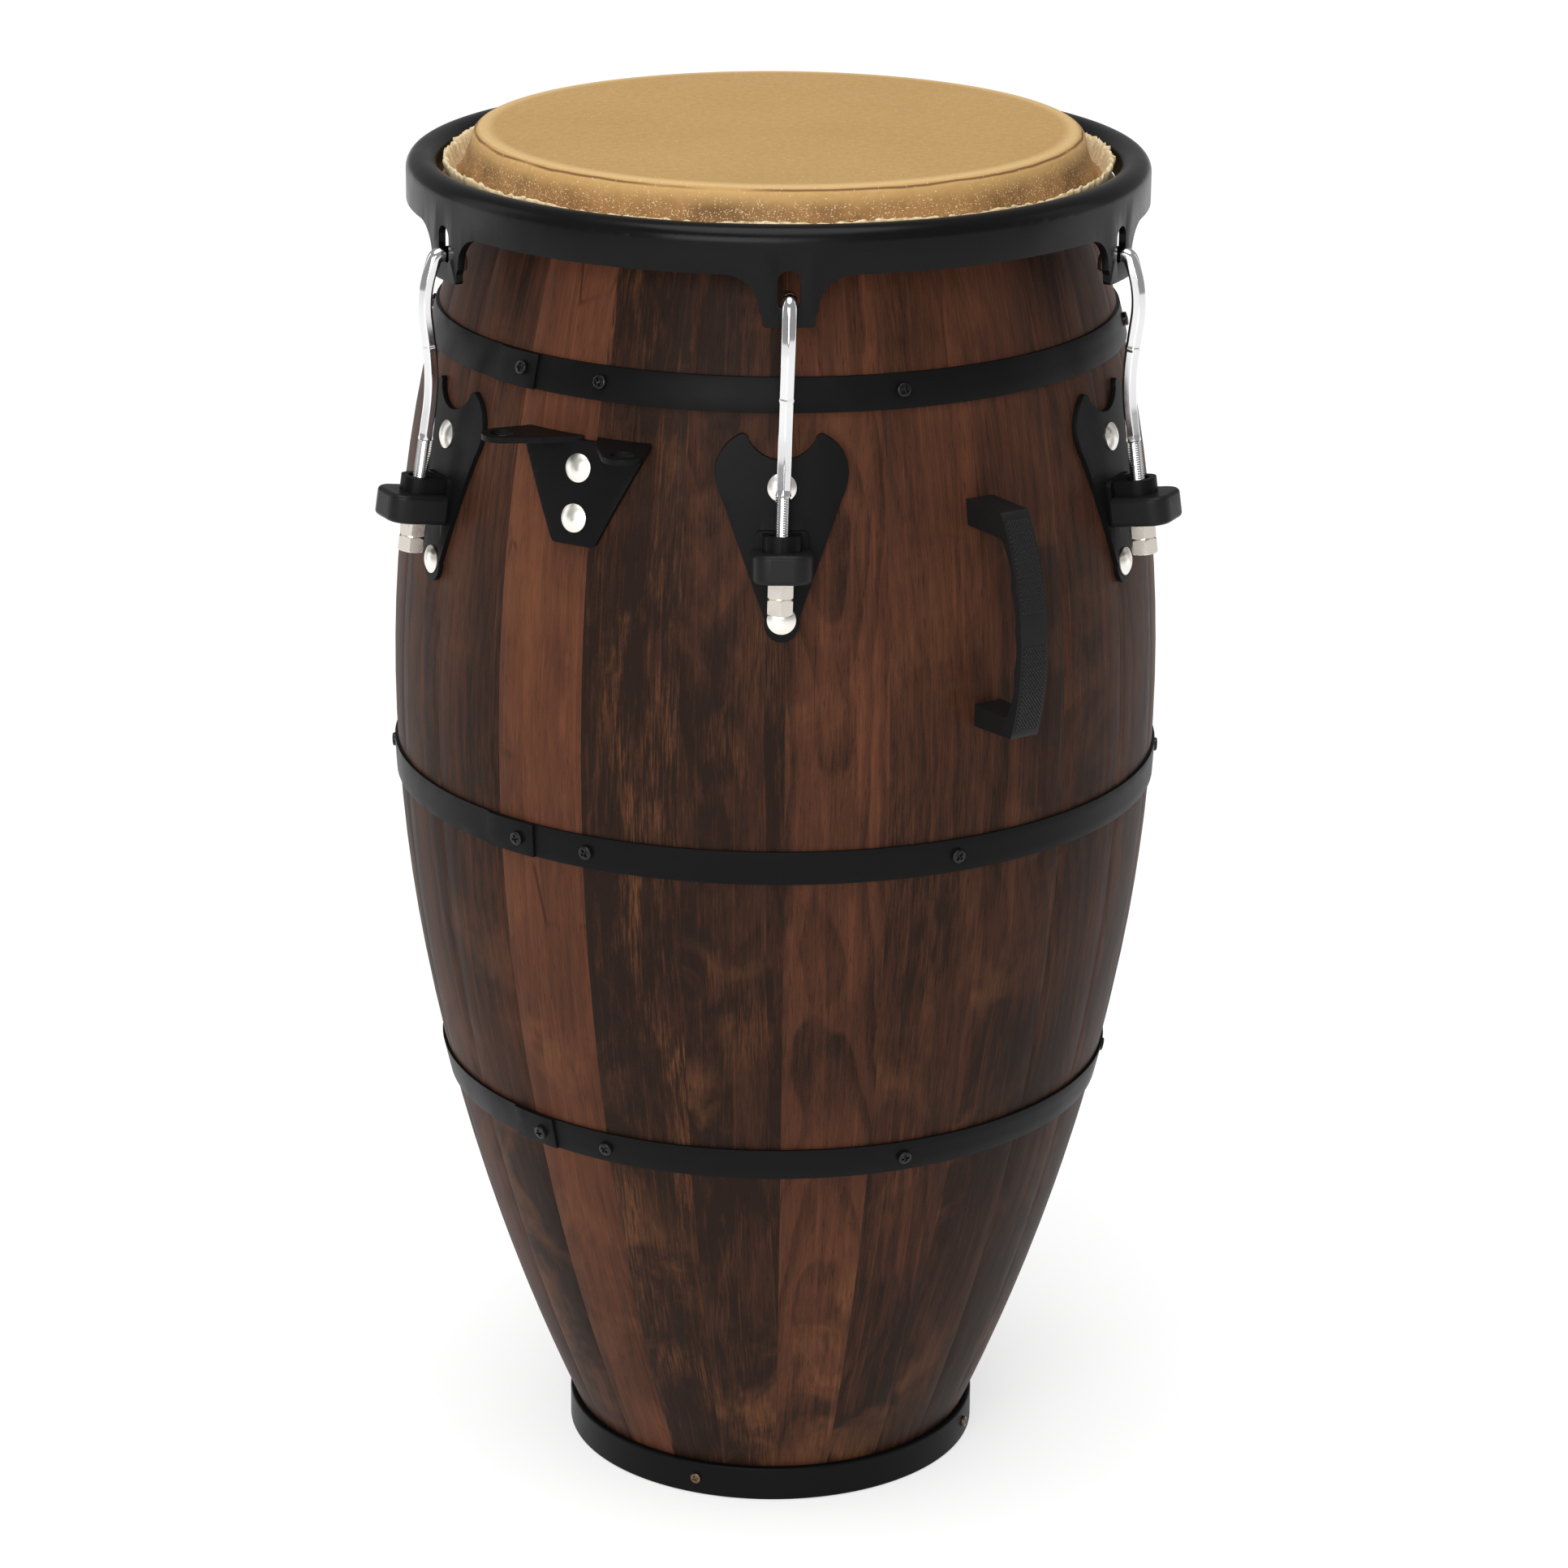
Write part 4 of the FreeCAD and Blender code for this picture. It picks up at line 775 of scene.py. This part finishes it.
def make_thread(number, turn, finish):
    """The rod below the bar, with its helical thread where it shows."""
    columns = 36
    step = THREAD_PITCH / 8
    rows = int((THREAD_TOP - THREAD_FOOT) / step)
    levels = [ROD_FOOT, ROD_FOOT + ROD_CHAMFER] + [THREAD_FOOT + step * row for row in range(rows)]
    points = []
    for level in levels:
        for column in range(columns):
            angle = 2 * math.pi * column / columns
            phase = (level / THREAD_PITCH - column / columns) % 1.0
            ridge = 1 - abs(2 * phase - 1)
            reach = THREAD_ROOT + THREAD_DEPTH * ridge if level > THREAD_FOOT else ROD_RADIUS
            reach = CHAMFER_RADIUS if level == ROD_FOOT else reach
            points.append(Vector((math.cos(angle) * reach, math.sin(angle) * reach, level)))
    faces = grid_faces(len(levels), columns, closed_columns=True)
    capped(points, faces, len(levels), columns)
    rod = Matrix.Translation((SEAT_RADIUS * MM, 0.0, SEAT_LEVEL * MM)) @ Matrix.Rotation(
        math.radians(-ROD_TILT), 4, "Y")
    place = turned_matrix(turn) @ lean_matrix() @ rod
    points = [place @ (point * MM) for point in points]
    mesh_piece(f"hook_thread_{number}", points, faces, f"hook_{number}", finish, 50.0)


# ---- screws ---------------------------------------------------------------------------------

def loose_parts(node):
    """The separate solids of a CAD node, each as an array of its points."""
    bm = bmesh.new()
    bm.from_mesh(NODES[node].data)
    bmesh.ops.remove_doubles(bm, verts=bm.verts, dist=CAD_WELD)
    left = set(bm.verts)
    parts = []
    while left:
        stack = [left.pop()]
        part = []
        while stack:
            vertex = stack.pop()
            part.append(tuple(vertex.co))
            for edge in vertex.link_edges:
                other = edge.other_vert(vertex)
                if other in left:
                    left.remove(other)
                    stack.append(other)
        parts.append(np.array(part))
    bm.free()
    return sorted(parts, key=part_order)


def part_order(part):
    """Parts go by height, and round the drum at one height."""
    x, y, up = (float(part[:, axis].mean()) for axis in range(3))
    return round(up, 4), math.atan2(x, -y)


def screw_axis(part):
    """The axis of a turned part: its middle and its direction out of the drum."""
    middle = part.mean(0)
    outward = np.array((middle[0], middle[1], 0.0)) / math.hypot(middle[0], middle[1])
    _, directions = np.linalg.eigh(np.cov((part - middle).T))
    axis = max(directions.T, key=lambda direction: abs(direction @ outward))
    return Vector(middle), Vector(axis if axis @ outward > 0 else -axis)


DOME_SHARE, FLANK_SHARE = 0.9, 0.1      # of a head's rows, over its top and down its side
DOME_DROP, FLANK_TOP = 0.45, 0.55       # as shares of the head's height
RECESS_DEPTH = 0.62
SLOT_HALF, SLOT_REACH = 0.13, 0.52      # as shares of the head's radius


def cross_depth(across, up, slot_half, slot_reach):
    """How deep a cross-shaped driver recess is at a place on a screw's head, from 0 to 1."""
    def inside(first, second):
        soft = 0.12
        side = 1 - min(1.0, max(0.0, (abs(first) - slot_half) / soft))
        end = 1 - min(1.0, max(0.0, (abs(second) - slot_reach) / (soft * 2)))
        return side * end
    return max(inside(across, up), inside(up, across)) * (1 - 0.35 * math.hypot(across, up) / slot_reach)


def make_screw_heads(name, node, rise, finish, rng):
    """Pan heads with a cross recess over a CAD node's screws."""
    rows, columns = 22, 72
    points, faces = [], []
    for part in loose_parts(node):
        middle, axis = screw_axis(part)
        along = (part - np.array(middle)) @ np.array(axis)
        radius = float(np.sqrt(((part - np.array(middle)) ** 2).sum(1) - along ** 2).max()) / MM
        base = middle + axis * (float(along.max()) - rise * MM)
        frame_turn = axis.to_track_quat("Z", "Y").to_matrix()
        spin = rng.uniform(0, math.pi / 2)
        start = len(points)
        for row in range(rows):
            share = row / (rows - 1)
            reach = radius * math.sin(math.pi / 2 * min(1.0, share / DOME_SHARE))
            for column in range(columns):
                angle = 2 * math.pi * column / columns
                across, up = reach * math.cos(angle), reach * math.sin(angle)
                height = rise * (1 - (share / DOME_SHARE) ** 4 * DOME_DROP)
                if share > DOME_SHARE:
                    height = rise * FLANK_TOP * (1 - share) / FLANK_SHARE
                recess = cross_depth(across, up, radius * SLOT_HALF, radius * SLOT_REACH)
                height -= rise * RECESS_DEPTH * recess
                flat = Vector((across, up, height)) * MM
                points.append(base + frame_turn @ (Matrix.Rotation(spin, 3, "Z") @ flat))
        faces += grid_faces(rows, columns, closed_columns=True, start=start)
    heads = mesh_piece(name, points, faces, "drum", finish, 35.0)
    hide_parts(node)


# ---- handle ---------------------------------------------------------------------------------

HANDLE_TURN = 31.8
HANDLE_WIDTH = 16.8
HANDLE_FOOT = (244.7, 486.5)
HANDLE_TOP = (231.0, 604.5)
HANDLE_BOW = 134.0


def handle_arc(share):
    """A place on the handle's outer face, from its foot to its top, and its outward direction."""
    foot, top = Vector(HANDLE_FOOT), Vector(HANDLE_TOP)
    half = (top - foot).length / 2
    along = (top - foot).normalized()
    out = Vector((along.y, -along.x))
    centre = (foot + top) / 2 - out * math.sqrt(HANDLE_BOW ** 2 - half ** 2)
    swing = math.asin(half / HANDLE_BOW)
    angle = swing * (2 * share - 1)
    direction = out * math.cos(angle) + along * math.sin(angle)
    return centre + direction * HANDLE_BOW, direction


def make_knurl(name, low, high, finish):
    """A panel of small diamond pyramids standing on the grip's outer face."""
    pitch = 1.72
    slant = 1.35
    depth = 0.75
    margin = 1.3
    chord = (Vector(HANDLE_TOP) - Vector(HANDLE_FOOT)).length
    length = 2 * HANDLE_BOW * math.asin(chord / 2 / HANDLE_BOW) * (high - low)
    step = pitch / 8
    rows = int(length / step)
    columns = int((HANDLE_WIDTH - 2 * margin) / step) + 1
    points = []
    for row in range(rows + 1):
        share = low + (high - low) * row / rows
        spot, out = handle_arc(share)
        for column in range(columns):
            side = -HANDLE_WIDTH / 2 + margin + (HANDLE_WIDTH - 2 * margin) * column / (columns - 1)
            along = row / rows * length
            first = abs(2 * (((along + side * slant) / (pitch * slant)) % 1.0) - 1)
            second = abs(2 * (((along - side * slant) / (pitch * slant)) % 1.0) - 1)
            height = 0.04 + depth * min(1.0, 1.5 * min(first, second))
            edge = min(row, rows - row, column, columns - 1 - column)
            height = -0.05 if edge == 0 else height
            place = spot + out * height
            points.append(turned_matrix(HANDLE_TURN) @ (Vector((place.x, side, place.y)) * MM))
    faces = grid_faces(rows + 1, columns)
    mesh_piece(name, points, faces, "drum", finish, 25.0)


# ---- assembly -------------------------------------------------------------------------------

def dress_nodes(finishes):
    for number in range(1, STAVE_COUNT + 1):
        dress(f"stave_{number:02d}", stave_wood(number), 0.00025)
    black = finishes["black"]
    for node in ("upper_band", "middle_band", "lower_band"):
        dress(node, black, 0.0003)
    dress("foot_band", black)
    dress("tension_rim", finishes["rim"], 0.0005)
    dress("accessory_bracket", black, 0.0006)
    for number in range(1, len(LUG_TURNS) + 1):
        dress(f"lug_plate_{number}", black, 0.0005)
        dress(f"tuning_nut_{number}", finishes["nickel"], 0.0002)
    dress("lug_boots", finishes["rubber"], 0.0004)
    dress("side_handle", finishes["plastic"], 0.0008)
    dress("carriage_bolts", finishes["dome"])
    dress("flesh_hoop", finishes["zinc"])
    dress("bolt_washers", finishes["zinc"])
    dress("bolt_nuts", finishes["zinc"])
    dress("handle_screws", finishes["zinc"])


def make_pieces(finishes):
    make_head(finishes["hide"])
    make_collar(finishes["collar"])
    for number, turn in enumerate(LUG_TURNS, start=1):
        make_hook(number, turn, finishes["chrome"])
        make_thread(number, turn, finishes["chrome"])
    rng = np.random.default_rng(3)
    make_screw_heads("band_screw_heads", "band_screws", 2.5, finishes["screw"], rng)
    make_screw_heads("foot_screw_heads", "foot_screws", 1.7, finishes["brass"], rng)
    make_knurl("handle_knurl_low", 0.035, 0.42, finishes["knurl"])
    make_knurl("handle_knurl_high", 0.56, 0.965, finishes["knurl"])


def main():
    make_camera()
    make_studio()
    finishes = {
        "black": powder_coat("black_powder_coat", shade=0.0048, rough=0.40, specular=0.07),
        "rim": powder_coat("rim_powder_coat", shade=0.0036, rough=0.27, specular=0.13),
        "screw": powder_coat("black_oxide", shade=0.005, rough=0.24, specular=0.28),
        "chrome": plated_metal("chrome_plate", (0.80, 0.80, 0.81), rough=0.09),
        "nickel": plated_metal("nickel_plate", (0.84, 0.78, 0.70), rough=0.27),
        "dome": plated_metal("nickel_dome", (0.88, 0.85, 0.79), rough=0.33, uneven=0.08),
        "zinc": plated_metal("zinc_plate", (0.62, 0.62, 0.64), rough=0.35),
        "brass": plated_metal("dark_brass", (0.17, 0.12, 0.075), rough=0.36),
        "rubber": boot_rubber(),
        "plastic": handle_plastic("handle_plastic", specular=0.14, shade=0.0085),
        "knurl": handle_plastic("knurled_plastic", specular=0.26, shade=0.0085),
        "hide": hide_paint(),
        "collar": collar_paint(),
    }
    dress_nodes(finishes)
    make_pieces(finishes)


main()
